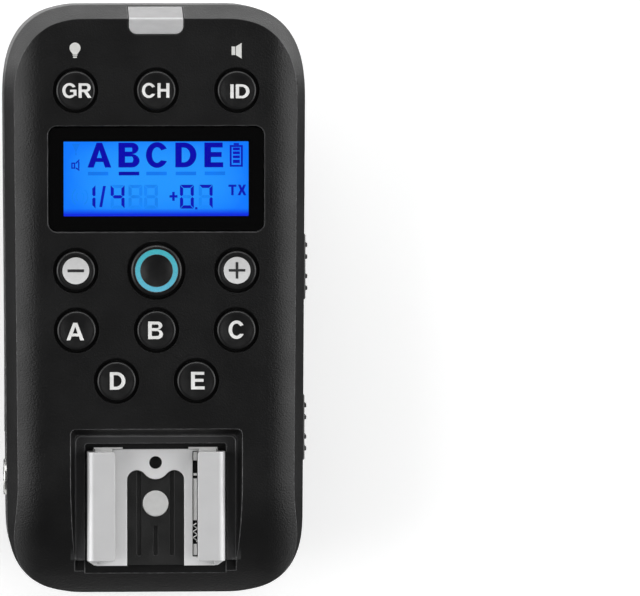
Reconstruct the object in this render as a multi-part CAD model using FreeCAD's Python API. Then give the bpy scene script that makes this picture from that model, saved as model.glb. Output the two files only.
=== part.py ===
"""Wireless flash trigger: a hand-sized radio transceiver for studio flashes.

A black two-part housing carries a display, eleven keys and a hot shoe on its top face.
Two slide switches are in the right wall, a sync jack and a USB socket in the left wall.
The back has a sliding battery door over two AAA cells, and a hot-shoe foot with a lock ring.

Frame: +Z is the normal of the control face, +Y runs from the shoe to the status lens.
The origin is on the shoe's axis, in the plane of the foot plate's underside.
All sizes are in millimetres.
"""
import FreeCAD
import Part

import math
import os

V = FreeCAD.Vector

# ---- Levels above the underside of the foot ---------------------------------------------
Z_BACK = 9.0            # flat back of the housing
Z_SPLIT = 24.0          # parting plane of the two covers
Z_EDGE = 27.9           # top of the upright side wall, where the bevel starts
Z_TOP = 33.5            # control face

# ---- Housing plan -----------------------------------------------------------------------
Y_FRONT = 75.75         # end with the status lens
Y_REAR = -13.75         # end with the shoe
HALF_FRONT = 22.95      # half width at the front end
HALF_REAR = 22.4        # half width at the rear end
CORNER_X = 13.0         # how far a corner reaches across
CORNER_FRONT = 14.8     # how far a front corner reaches along
CORNER_REAR = 12.7
CORNER_POWER = 2.7      # superellipse exponent of the corners
CORNER_POINTS = 9

# ---- Housing section --------------------------------------------------------------------
BEVEL_SLOPE = 70.0      # degrees from the horizontal
SHOULDER_X = 16.9       # the control face is flat out to here
SHOULDER_R = 6.8
ROLL_Y = 4.0            # the control face rolls down towards the shoe's end from here
ROLL_R = 25.4
ROLL_DEG = 70.0
BACK_R = 5.0            # rounding round the back
WALL = 1.6
FLOOR = 1.8             # thickness of the back
LIP = 0.8               # tongue of the bottom cover inside the top cover
LIP_H = 1.0
GROOVE = 0.3            # shadow gap along the parting plane
GAP = 0.1               # clearance between fixed parts

# ---- Keys -------------------------------------------------------------------------------
KEY_R = 2.93
KEY_HOLE_R = 3.45
KEY_DISH_R = 12.0       # the caps are dished
KEY_DISH = 0.25
KEY_PROUD = 0.5
KEY_TRAVEL = 0.4
KEY_FLANGE_R = 3.8
KEY_STEM_R = 1.6
TEST_R = 3.88
TEST_HOLE_R = 4.42
TEST_PROUD = 0.7
TEST_TRAVEL = 0.9
TEST_Y = 35.65
RING_R = (2.48, 3.23)   # lit ring in the test button
KEYS = {
    "key_gr": (-12.2, 62.9),
    "key_ch": (0.0, 62.9),
    "key_id": (12.2, 62.9),
    "key_minus": (-12.2, 35.65),
    "key_plus": (12.2, 35.65),
    "key_a": (-12.1, 26.6),
    "key_b": (0.0, 26.6),
    "key_c": (12.1, 26.6),
    "key_d": (-6.05, 18.9),
    "key_e": (6.05, 18.9),
}

# ---- Display ----------------------------------------------------------------------------
WINDOW = (32.6, 15.9)   # clear window, across and along
WINDOW_Y = 49.5
WINDOW_R = 1.35
WINDOW_T = 0.9
MASK_T = 0.12
ACTIVE = (28.0, 11.3)   # what shows of the display
LCD = (31.0, 14.6)
LCD_Z = (29.6, 31.6)
LIGHT_Z = (27.05, 29.55)

# ---- Main board -------------------------------------------------------------------------
PCB_Z = (25.8, 27.0)
PCB_INSET = 2.6         # from the housing's outline
MEMBRANE_Z = (29.9, 30.5)

# ---- Status lens ------------------------------------------------------------------------
LENS_HALF = 4.1
LENS_Y = 71.4
LENS_Z = 28.7

# ---- Shoe -------------------------------------------------------------------------------
SHOE_HALF = 10.45       # outside of the side walls
SHOE_T = 1.1            # sheet thickness
SHOE_BASE_T = 1.0
SHOE_BASE_Z = 28.85
SHOE_LIP_X = 6.3        # half the gap between the lips
SHOE_TOP_Z = 33.3
GUSSET_H = 2.0          # the folded corners at the open end
SHOE_BASE_Y = (-9.45, 8.3)
SHOE_LIP_Y = (-8.5, 8.05)
SHOE_BEND_R = 1.05
SHOE_LIP_R = 0.4
SHOE_CUT_X = 4.35       # half the width of the cut-out round the contact
SHOE_CUT_TOP = 5.1      # far edge of the cut-out
SHOE_CUT_R = 1.5
TONGUE_TIP = 3.73       # the tongue round the lock hole reaches back to here
TONGUE_R = 2.149
SLIT = (5.62, 6.4, -8.1, 8.0)   # slit over the right-hand leaf spring
LOCK_Y = 6.25           # lock hole from the centre contact
LOCK_HOLE_R = 0.97
CONTACT_R = 1.97
RECESS_TOP = (13.0, 11.55)      # half width and far edge at the control face
RECESS_LEDGE = (12.3, 10.5)     # the same at the ledge round the shoe
RECESS_WELL = (10.75, 9.2)      # the same at the well inside the ledge
LEDGE_Z = 30.3
LEDGE_REAR = -8.55              # the ledge steps down here
STEP_Z = 29.1
RECESS_Z = 28.85
RECESS_FLOOR_T = 1.5
SHOE_SCREW = (7.9, 6.2)

# ---- Foot -------------------------------------------------------------------------------
FOOT_W = 18.5
FOOT_L = 18.2
FOOT_T = 2.0
NECK_W = 12.4
NECK_L = 16.4
NECK_R = 4.0
STEM_R = 8.8
STEM_FLANGE_R = 11.3
RING_OUT_R = 13.0
RING_Z = (5.5, 8.8)
WASHER_Z = (4.7, 5.4)
RING_TRAVEL = 1.2
PIN_R = 0.95            # lock pin
CONTACT_PIN_R = 1.2

# ---- Batteries --------------------------------------------------------------------------
CELL_R = 5.25
CELL_X = 5.75
CELL_Z = 15.85
BAY_X = 11.3
BAY_Y = (17.0, 66.6)
BAY_WALL = 0.9
DOOR_X = 13.4
DOOR_Y = 16.0
DOOR_T = 1.3
CAP_X = 15.2            # the door's end is wider, and closes the ends of the rail grooves
CAP_Y = 68.0
CAP_Z = 16.0
RAIL_X = (12.35, 14.6)
RAIL_Z = (10.3, 11.3)
RAIL_Y = (18.0, 66.0)

# ---- Side wall fittings -----------------------------------------------------------------
SWITCH_Z = 24.0
SWITCH_Y = {"power_switch_knob": 35.8, "mode_switch_knob": 11.3}
KNOB_HALF = (5.0, 1.7)          # half length along Y, half height
KNOB_TRAVEL = 2.0
KNOB_PROUD = 0.35
NUB_PROUD = 0.3
NUB_OFFSETS = (-3.29, -1.48, 1.48, 3.29)
JACK_Y = 3.7
JACK_Z = 22.6
JACK_R = 1.25
JACK_DEPTH = 11.0
USB_Y = 15.5
USB_Z = 24.25

# ---- Screws -----------------------------------------------------------------------------
CASE_SCREWS = [(-14.5, -6.5), (14.5, -6.5), (-17.6, 58.6), (17.6, 58.6)]
FOOT_SCREWS = [(-4.1, -5.4), (4.1, -5.4), (-4.1, 5.4), (4.1, 5.4)]
PCB_SCREWS = [(-12.0, 15.6), (12.0, 15.6), (-9.5, 70.3), (9.5, 70.3)]


# ---- Helpers ----------------------------------------------------------------------------
def box(x0, x1, y0, y1, z0, z1):
    return Part.makeBox(x1 - x0, y1 - y0, z1 - z0, V(x0, y0, z0))


def sym_box(half_x, y0, y1, z0, z1):
    return box(-half_x, half_x, y0, y1, z0, z1)


def cyl(r, z0, z1, x=0.0, y=0.0):
    return Part.makeCylinder(r, z1 - z0, V(x, y, z0))


def cyl_x(r, x0, x1, y, z):
    return Part.makeCylinder(r, x1 - x0, V(x0, y, z), V(1, 0, 0))


def cyl_y(r, y0, y1, x, z):
    return Part.makeCylinder(r, y1 - y0, V(x, y0, z), V(0, 1, 0))


def polygon(points):
    """A flat face through the given corners."""
    return Part.Face(Part.makePolygon(points + [points[0]]))


def rounded_prism(width, length, radius, z0, z1, x=0.0, y=0.0):
    """An upright block with rounded corners in plan."""
    solid = box(x - width / 2, x + width / 2, y - length / 2, y + length / 2, z0, z1)
    upright = [e for e in solid.Edges if abs(e.tangentAt(e.FirstParameter).z) > 0.99]
    return solid.makeFillet(radius, upright)


def rim(solid, radius, z, tol=0.01):
    """Rounds every edge that lies wholly in the plane at z."""
    edges = [e for e in solid.Edges if abs(e.BoundBox.ZMin - z) < tol and abs(e.BoundBox.ZMax - z) < tol]
    return solid.makeFillet(radius, edges)


def mirrored(shape):
    return shape.mirror(V(0, 0, 0), V(1, 0, 0))


def both_sides(shape):
    return shape.fuse(mirrored(shape))


def join(first, *others):
    return first.multiFuse(list(others)).removeSplitter()


def half_width(y):
    """Half the housing's width at a place along it."""
    share = (y - Y_REAR) / (Y_FRONT - Y_REAR)
    return HALF_REAR + share * (HALF_FRONT - HALF_REAR)


# ---- Housing shapes ---------------------------------------------------------------------
def corner_curve(cx, cy, ax, ay, z):
    """A quarter superellipse about (cx, cy), from the side (ax, 0) to the end (0, ay)."""
    points = []
    for i in range(CORNER_POINTS):
        t = math.pi / 2 * i / (CORNER_POINTS - 1)
        dx = ax * max(math.cos(t), 0.0) ** (2 / CORNER_POWER)
        dy = ay * max(math.sin(t), 0.0) ** (2 / CORNER_POWER)
        points.append(V(cx + dx, cy + dy, z))
    curve = Part.BSplineCurve()
    lean = (HALF_FRONT - HALF_REAR) / (Y_FRONT - Y_REAR)
    start = V(lean, 1 if ay > 0 else -1, 0) if ax > 0 else V(-lean, 1 if ay > 0 else -1, 0)
    if ay < 0:
        start = V(-start.x, -1, 0)
    curve.interpolate(Points=points, InitialTangent=start, FinalTangent=V(-1 if ax > 0 else 1, 0, 0))
    return curve.toShape()


def outline(inset, z):
    """The housing's plan, drawn in by inset, as a closed wire at height z."""
    corners = []
    for y_end, reach, half in ((Y_FRONT, CORNER_FRONT, HALF_FRONT), (Y_REAR, -CORNER_REAR, HALF_REAR)):
        cy = y_end - reach
        side = half_width(cy)
        for sx in (1, -1):
            cx = sx * (side - CORNER_X)
            ay = reach - inset if reach > 0 else reach + inset
            corners.append(corner_curve(cx, cy, sx * (CORNER_X - inset), ay, z))
    front_right, front_left, rear_right, rear_left = corners

    def line(a, b):
        return Part.makeLine(a, b)

    def first(edge):
        return edge.Vertexes[0].Point

    def last(edge):
        return edge.Vertexes[-1].Point

    edges = [
        front_right,
        line(last(front_right), last(front_left)),
        front_left,
        line(first(front_left), first(rear_left)),
        rear_left,
        line(last(rear_left), last(rear_right)),
        rear_right,
        line(first(rear_right), first(front_right)),
    ]
    return Part.Wire(Part.__sortEdges__(edges))


def plan_prism(inset, z0, z1):
    return Part.Face(outline(inset, z0)).extrude(V(0, 0, z1 - z0))


def crown(inset):
    """The crowned control face as a long block that rolls down at the shoe's end."""
    top = Z_TOP - inset
    radius = SHOULDER_R - inset
    arc_z = Z_TOP - SHOULDER_R
    angle = math.radians(42)
    end = V(SHOULDER_X + radius * math.sin(angle), 0, arc_z + radius * math.cos(angle))
    mid = V(SHOULDER_X + radius * math.sin(angle / 2), 0, arc_z + radius * math.cos(angle / 2))
    reach = 6.0
    low = V(end.x + reach, 0, end.z - reach * math.tan(angle))
    floor_z = Z_BACK + 6.0

    def flip(p):
        return V(-p.x, p.y, p.z)

    edges = [
        Part.makeLine(V(-SHOULDER_X, 0, top), V(SHOULDER_X, 0, top)),
        Part.Arc(V(SHOULDER_X, 0, top), mid, end).toShape(),
        Part.makeLine(end, low),
        Part.makeLine(low, V(low.x, 0, floor_z)),
        Part.makeLine(V(low.x, 0, floor_z), V(-low.x, 0, floor_z)),
        Part.makeLine(V(-low.x, 0, floor_z), flip(low)),
        Part.makeLine(flip(low), flip(end)),
        Part.Arc(flip(end), flip(mid), V(-SHOULDER_X, 0, top)).toShape(),
    ]
    face = Part.Face(Part.Wire(edges))
    face.translate(V(0, ROLL_Y, 0))
    straight = face.extrude(V(0, Y_FRONT + 10 - ROLL_Y, 0))
    rolled = face.revolve(V(0, ROLL_Y, Z_TOP - ROLL_R), V(1, 0, 0), ROLL_DEG)
    return straight.fuse(rolled)


def upper_block(inset):
    """The top cover's outside, or its cavity when it is drawn in by the wall."""
    taper = (Z_TOP - Z_EDGE) / math.tan(math.radians(BEVEL_SLOPE))
    bevel = Part.makeLoft([outline(inset, Z_EDGE), outline(inset + taper, Z_TOP)], True, True)
    upright = plan_prism(inset, Z_SPLIT, Z_EDGE)
    return upright.fuse(bevel).common(crown(inset))


def lower_block(inset, floor):
    """The bottom cover's outside, or its cavity."""
    return rim(plan_prism(inset, floor, Z_SPLIT), BACK_R - inset, floor)


# ---- Housing covers ---------------------------------------------------------------------
def recess():
    """The hollow that the hot shoe stands in: sloped walls, a ledge and a well for the shoe."""
    wires = []
    for (half, far), z in ((RECESS_LEDGE, LEDGE_Z), (RECESS_TOP, Z_TOP)):
        points = [V(-half, -20, z), V(half, -20, z), V(half, far, z), V(-half, far, z)]
        wires.append(Part.makePolygon(points + [points[0]]))
    slope = Part.makeLoft(wires, True, True)
    slanted = [e for e in slope.Edges if e.BoundBox.ZLength > 3 and e.BoundBox.YMin > 5]
    slope = slope.makeFillet(0.8, slanted)
    half, far = RECESS_WELL
    well = sym_box(half, -20, far, RECESS_Z, LEDGE_Z + 0.1)
    upright = [e for e in well.Edges if e.BoundBox.ZLength > 1 and e.BoundBox.YMin > 5]
    well = well.makeFillet(0.4, upright)
    step = sym_box(RECESS_LEDGE[0], -20, LEDGE_REAR, STEP_Z, LEDGE_Z + 0.1)
    return slope.multiFuse([well, step])


def switch_window(y):
    reach = KNOB_HALF[0] + KNOB_TRAVEL + GAP
    return box(18, 26, y - reach, y + reach, SWITCH_Z - KNOB_HALF[1] - GAP, SWITCH_Z + KNOB_HALF[1] + GAP)


def usb_pad():
    """A low raised frame round the USB socket, shared by both covers."""
    x = half_width(USB_Y)
    pad = box(-x - 0.2, -x + 1.0, USB_Y - 5.0, USB_Y + 5.0, SWITCH_Z - 2.6, SWITCH_Z + 2.6)
    outer = [e for e in pad.Edges if abs(e.BoundBox.XMax + x + 0.2) < 0.01]
    return pad.makeFillet(0.15, outer)


def wall_openings():
    """Everything that is cut through the side walls of both covers."""
    cuts = [switch_window(y) for y in SWITCH_Y.values()]
    cuts.append(cyl_x(2.85, -26, -18, JACK_Y, JACK_Z))
    cuts.append(box(-26, -18, USB_Y - 3.9, USB_Y + 3.9, USB_Z - 1.55, USB_Z + 1.55))
    return cuts


def top_cover():
    outer = upper_block(0)
    shell = outer.cut(upper_block(WALL))
    half, far = RECESS_TOP
    tub = sym_box(half + 1.2, Y_REAR - 1, far + 1.2, RECESS_Z - RECESS_FLOOR_T, Z_TOP + 1)
    extras = [tub.common(outer)]
    for x, y in CASE_SCREWS:
        extras.append(cyl(2.6, Z_SPLIT + 0.1, Z_TOP - 1, x, y).common(outer))
    for x, y in PCB_SCREWS:
        extras.append(cyl(2.0, PCB_Z[1] + 0.05, Z_TOP - 1, x, y))
    ledge = sym_box(17.3, WINDOW_Y - 9.0, WINDOW_Y + 9.0, 31.7, Z_TOP - 0.5)
    extras.append(ledge)
    extras.append(usb_pad().common(box(-30, 0, 0, 30, Z_SPLIT, 40)))
    solid = shell.multiFuse(extras)
    cuts = [recess()]
    cuts.append(plan_prism(LIP, Z_SPLIT, Z_SPLIT + LIP_H + GAP).cut(plan_prism(WALL, Z_SPLIT, Z_SPLIT + 3)))
    groove = plan_prism(-0.6, Z_SPLIT, Z_SPLIT + GROOVE).cut(plan_prism(0.35, Z_SPLIT - 1, Z_SPLIT + 1))
    cuts.append(groove)
    for x, y in KEYS.values():
        cuts.append(cyl(KEY_HOLE_R, 30, 36, x, y))
    cuts.append(cyl(TEST_HOLE_R, 30, 36, 0, TEST_Y))
    seat_z = Z_TOP - WINDOW_T - 0.05
    cuts.append(rounded_prism(WINDOW[0] + 0.2, WINDOW[1] + 0.2, WINDOW_R + 0.1, seat_z, 36, 0, WINDOW_Y))
    cuts.append(rounded_prism(LCD[0] + 0.4, 15.0, 0.6, 30, 36, 0, WINDOW_Y))
    cuts.append(lens_window(0.12))
    for x, y in CASE_SCREWS:
        cuts.append(cyl(0.95, Z_SPLIT - 1, 29.2 if y < 0 else 30.5, x, y))
    for x, y in PCB_SCREWS:
        cuts.append(cyl(0.75, PCB_Z[1] - 1, 31.5, x, y))
    for sx in (-1, 1):
        for sy in (-1, 1):
            cuts.append(cyl(0.85, 27, 29, sx * SHOE_SCREW[0], sy * SHOE_SCREW[1]))
    cuts.append(cyl(0.95, 27, 29))
    cuts.extend(wall_openings())
    return solid.cut(cuts).removeSplitter()


def door_cap(gap):
    """The door's deep end, or the pocket it slides into when a gap is given."""
    return sym_box(CAP_X + gap, CAP_Y - gap, Y_FRONT + 5, 5, CAP_Z + gap)


def door_rails(gap):
    x0, x1 = RAIL_X
    end = RAIL_Y[1] if gap == 0 else CAP_Y
    rail = box(x0 - gap, x1 + gap, RAIL_Y[0] - gap, end, RAIL_Z[0] - gap, RAIL_Z[1] + gap)
    return both_sides(rail)


def bottom_cover():
    outer = lower_block(0, Z_BACK)
    shell = outer.cut(lower_block(WALL, Z_BACK + FLOOR))
    tongue = plan_prism(LIP + GAP, Z_SPLIT - 0.5, Z_SPLIT + LIP_H)
    tongue = tongue.cut(plan_prism(WALL, Z_SPLIT - 1, Z_SPLIT + 3))
    extras = [tongue]
    bay_out = BAY_X + BAY_WALL
    y0, y1 = BAY_Y
    extras.append(sym_box(bay_out, y0 - BAY_WALL, y1 + BAY_WALL, Z_BACK + 1, 22.5))
    extras.append(sym_box(15.6, y0 - BAY_WALL, 72, Z_BACK + 1, 12.4))
    extras.append(sym_box(CAP_X + 1.3, CAP_Y - 1.3, Y_FRONT, Z_BACK + 1, CAP_Z + 1.3).common(outer))
    for x, y in CASE_SCREWS:
        extras.append(cyl(2.6, Z_BACK, Z_SPLIT, x, y).common(outer))
    extras.append(usb_pad().common(box(-30, 0, 0, 30, 0, Z_SPLIT)))
    solid = shell.multiFuse(extras)
    cuts = [sym_box(DOOR_X + GAP, DOOR_Y - GAP, Y_FRONT + 5, 5, Z_BACK + DOOR_T + GAP)]
    cuts.append(sym_box(BAY_X, y0, y1, Z_BACK, 21.6))
    cuts.append(door_cap(GAP))
    cuts.append(door_rails(GAP))
    cuts.append(cyl(STEM_R + 0.05, 5, 15))
    for x, y in CASE_SCREWS:
        cuts.append(cyl(1.9, 5, 11.5, x, y))
        cuts.append(cyl(1.1, 5, 30, x, y))
    cuts.extend(wall_openings())
    return solid.cut(cuts).removeSplitter()


def battery_door():
    plate = sym_box(DOOR_X, DOOR_Y, Y_FRONT + 1, Z_BACK, Z_BACK + DOOR_T)
    cap = door_cap(0)
    hollow = sym_box(CAP_X - 1.3, CAP_Y + 1.2, Y_FRONT - 1.4, Z_BACK + DOOR_T, CAP_Z + 1)
    solid = plate.fuse(cap).common(lower_block(0, Z_BACK)).cut(hollow)
    solid = solid.fuse(door_rails(0)).removeSplitter()
    grips = []
    for i in range(5):
        grips.append(cyl_x(0.5, -6.0, 6.0, 20.0 + 1.7 * i, Z_BACK - 0.12))
    return solid.cut(grips).removeSplitter()


# ---- Lens, window and display -----------------------------------------------------------
def lens_window(gap):
    """The opening for the status lens at the front edge, grown by a gap."""
    half = LENS_HALF + gap
    low = LENS_Y - gap
    plan = box(-half, half, low, Y_FRONT + 6, LENS_Z - gap, Z_TOP + 3)
    corners = [e for e in plan.Edges if e.BoundBox.ZLength > 5 and e.BoundBox.YMax < low + 0.1]
    return plan.makeFillet(1.2 + gap, corners)


def status_lens():
    shell = upper_block(0).cut(upper_block(1.4))
    solid = shell.common(lens_window(0))
    pipe = sym_box(1.6, 72.0, 73.4, 28.3, Z_TOP - 1.2).common(upper_block(0.5))
    return solid.fuse(pipe).removeSplitter()


def display_window():
    top = Z_TOP - 0.05
    solid = rounded_prism(WINDOW[0], WINDOW[1], WINDOW_R, top - WINDOW_T + MASK_T, top, 0, WINDOW_Y)
    return solid.makeChamfer(0.15, [e for e in solid.Edges if abs(e.BoundBox.ZMin - top) < 0.01])


def window_mask():
    z = Z_TOP - 0.05 - WINDOW_T
    sheet = rounded_prism(WINDOW[0] - 0.2, WINDOW[1] - 0.2, WINDOW_R, z, z + MASK_T, 0, WINDOW_Y)
    return sheet.cut(rounded_prism(ACTIVE[0], ACTIVE[1], 0.1, z - 1, z + 1, 0, WINDOW_Y))


def lcd_panel():
    lower = sym_box(LCD[0] / 2, WINDOW_Y - LCD[1] / 2, WINDOW_Y + LCD[1] / 2, LCD_Z[0], LCD_Z[0] + 1)
    upper = sym_box(LCD[0] / 2, WINDOW_Y - LCD[1] / 2, WINDOW_Y + LCD[1] / 2 - 1.6, LCD_Z[0] + 1, LCD_Z[1])
    return lower.fuse(upper).removeSplitter()


def lcd_backlight():
    return sym_box(LCD[0] / 2, WINDOW_Y - LCD[1] / 2, WINDOW_Y + LCD[1] / 2 - 1.9, LIGHT_Z[0], LIGHT_Z[1])


def zebra_strip():
    end = WINDOW_Y + LCD[1] / 2
    return sym_box(13.5, end - 1.7, end - 0.2, LIGHT_Z[0], LIGHT_Z[1])


# ---- Keys -------------------------------------------------------------------------------
def key(x, y):
    """A round cap with a flange under the control face and a stem down to its switch."""
    top = Z_TOP + KEY_PROUD
    cap = rim(cyl(KEY_R, 31.0, top), 0.3, top)
    cap = cap.cut(Part.makeSphere(KEY_DISH_R, V(0, 0, top + KEY_DISH_R - KEY_DISH)))
    flange = cyl(KEY_FLANGE_R, 30.95, 31.8)
    stem = cyl(KEY_STEM_R, 28.9, 31.0)
    solid = join(cap, flange, stem)
    solid.translate(V(x, y, 0))
    return solid


def test_button():
    top = Z_TOP + TEST_PROUD
    cap = rim(cyl(TEST_R, 30.5, top), 0.4, top)
    ring = cyl(RING_R[1], top - 0.9, top + 1).cut(cyl(RING_R[0], top - 2, top + 2))
    dish = Part.makeSphere(9.0, V(0, 0, top + 8.65))
    flange = cyl(4.8, 30.9, 31.8)
    stem = cyl(KEY_STEM_R, 28.9, 31.0)
    solid = join(cap, flange, stem).cut([ring, dish])
    solid.translate(V(0, TEST_Y, 0))
    return solid


def test_button_ring():
    top = Z_TOP + TEST_PROUD
    ring = cyl(RING_R[1], top - 0.9, top - 0.02, 0, TEST_Y)
    return ring.cut(cyl(RING_R[0], top - 2, top + 2, 0, TEST_Y))


def keypad_membrane():
    """A rubber mat under the keys, with a hole round every stem and round the display."""
    sheet = box(-18.4, 18.4, 13.9, 67.4, MEMBRANE_Z[0], MEMBRANE_Z[1])
    cuts = [sym_box(LCD[0] / 2 + 0.5, WINDOW_Y - 7.9, WINDOW_Y + 7.9, 29, 32)]
    for x, y in KEYS.values():
        cuts.append(cyl(2.2, 29, 32, x, y))
    cuts.append(cyl(5.1, 29, 32, 0, TEST_Y))
    for x, y in PCB_SCREWS:
        cuts.append(cyl(2.3, 29, 32, x, y))
    for x, y in CASE_SCREWS:
        cuts.append(cyl(2.9, 29, 32, x, y))
    return sheet.cut(cuts)


def tact_switches():
    parts = []
    for x, y in KEYS.values():
        body = box(x - 2.2, x + 2.2, y - 2.2, y + 2.2, PCB_Z[1], 28.1)
        parts.append(body.fuse(cyl(1.1, 28.1, 28.45, x, y)))
    return Part.makeCompound(parts)


def shutter_switch():
    """The two-stage switch under the test button."""
    body = box(-3.0, 3.0, TEST_Y - 3.0, TEST_Y + 3.0, PCB_Z[1], 27.7)
    return body.fuse(cyl(1.5, 27.7, 27.95, 0, TEST_Y)).removeSplitter()


# ---- Main board -------------------------------------------------------------------------
def main_pcb():
    board = plan_prism(PCB_INSET, PCB_Z[0], PCB_Z[1]).common(sym_box(30, -8.5, 80, 20, 30))
    cuts = []
    for x, y in CASE_SCREWS:
        cuts.append(cyl(2.9, 20, 30, x, y))
    for x, y in PCB_SCREWS:
        cuts.append(cyl(0.9, 20, 30, x, y))
    return board.cut(cuts)


def chips():
    """The controller, the display driver and a regulator, soldered on the board."""
    top = PCB_Z[1]
    blocks = [sym_box(2.4, 16.4, 21.2, top, top + 1.0)]
    blocks.append(box(-3.5, 3.5, 8.0, 10.5, PCB_Z[0] - 1.2, PCB_Z[0]))
    blocks.append(box(6.0, 9.0, 29.5, 32.5, top, top + 1.1))
    return Part.makeCompound(blocks)


def crystal():
    return rounded_prism(4.4, 1.8, 0.7, PCB_Z[1], PCB_Z[1] + 1.2, -7.4, 31.2)


def rf_module():
    board = box(11.2, 19.3, 41.0, 55.0, PCB_Z[0] - 0.8, PCB_Z[0])
    can = box(11.9, 18.6, 41.8, 50.5, PCB_Z[0] - 2.4, PCB_Z[0] - 0.8)
    return board.fuse(can).removeSplitter()


def stacked_coil(levels, wire):
    """A coil as a stack of round turns joined by a thin sleeve, given (radius, height) per turn."""
    turns = []
    for i, (r, z) in enumerate(levels):
        turns.append(cyl(r + wire, z - wire, z + wire).cut(cyl(r - wire, z - 1, z + 1)))
        if i:
            low_r, low_z = levels[i - 1]
            mid = (r + low_r) / 2
            sleeve = cyl(mid + 0.45 * wire, low_z, z).cut(cyl(mid - 0.45 * wire, low_z - 1, z + 1))
            turns.append(sleeve)
    return join(*turns)


def antenna():
    """A short coil antenna along the left wall, with a leg up to the board."""
    coil = stacked_coil([(1.6, 1.3 * i) for i in range(12)], 0.35)
    coil.rotate(V(0, 0, 0), V(1, 0, 0), -90)
    coil.translate(V(-17.6, 26.4, 23.6))
    return coil.fuse(box(-17.9, -17.3, 26.1, 26.7, 25.2, PCB_Z[0])).removeSplitter()


def buzzer():
    can = cyl(4.5, 22.7, PCB_Z[0], -15.8, 50.0)
    return can.cut(cyl(0.8, 22, 23.4, -15.8, 50.0))


def status_led():
    return sym_box(0.8, 71.3, 72.9, PCB_Z[1], PCB_Z[1] + 0.7)


def pcb_screws():
    parts = []
    for x, y in PCB_SCREWS:
        head = cyl(1.5, PCB_Z[0] - 0.9, PCB_Z[0], x, y)
        slot = box(x - 1.2, x + 1.2, y - 0.2, y + 0.2, PCB_Z[0] - 1.5, PCB_Z[0] - 0.5)
        parts.append(head.cut(slot).fuse(cyl(0.7, PCB_Z[0], 31.0, x, y)))
    return Part.makeCompound(parts)


def case_screws():
    parts = []
    for x, y in CASE_SCREWS:
        head = cyl(1.75, 10.2, 11.5, x, y)
        cross = box(x - 1.1, x + 1.1, y - 0.22, y + 0.22, 10, 10.9)
        cross = cross.fuse(box(x - 0.22, x + 0.22, y - 1.1, y + 1.1, 10, 10.9))
        top = 29.0 if y < 0 else 30.3
        parts.append(head.cut(cross).fuse(cyl(0.9, 11.5, top, x, y)))
    return Part.makeCompound(parts)


# ---- Hot shoe on the control face -------------------------------------------------------
def shoe_cut_out(inset, z0, z1):
    """The cut-out round the contact: two rounded shoulders that flow into a tongue."""
    half = SHOE_CUT_X - inset
    r = SHOE_CUT_R - inset
    cx = SHOE_CUT_X - SHOE_CUT_R
    cy = SHOE_CUT_TOP - SHOE_CUT_R
    tip = TONGUE_TIP - inset
    tongue = V(0, TONGUE_TIP + TONGUE_R, z0)
    reach = math.hypot(cx, tongue.y - cy)
    ux, uy = cx / reach, (tongue.y - cy) / reach
    join_r = V(cx - r * ux, cy + r * uy, z0)
    start = math.atan2(uy, -ux)
    edges = []

    def shoulder(sign):
        mid = start / 2
        points = [V(sign * half, cy, z0), V(sign * (cx + r * math.cos(mid)), cy + r * math.sin(mid), z0),
                  V(sign * join_r.x, join_r.y, z0)]
        return Part.Arc(*points).toShape()

    edges.append(shoulder(1))
    edges.append(Part.Arc(V(join_r.x, join_r.y, z0), V(0, tip, z0), V(-join_r.x, join_r.y, z0)).toShape())
    edges.append(shoulder(-1))
    low = SHOE_BASE_Y[0] - 5 if inset == 0 else SHOE_BASE_Y[0] + 0.1
    corners = [V(-half, cy, z0), V(-half, low, z0), V(half, low, z0), V(half, cy, z0)]
    for first, second in zip(corners, corners[1:]):
        edges.append(Part.makeLine(first, second))
    face = Part.Face(Part.Wire(Part.__sortEdges__(edges)))
    return face.extrude(V(0, 0, z1 - z0))


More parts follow.
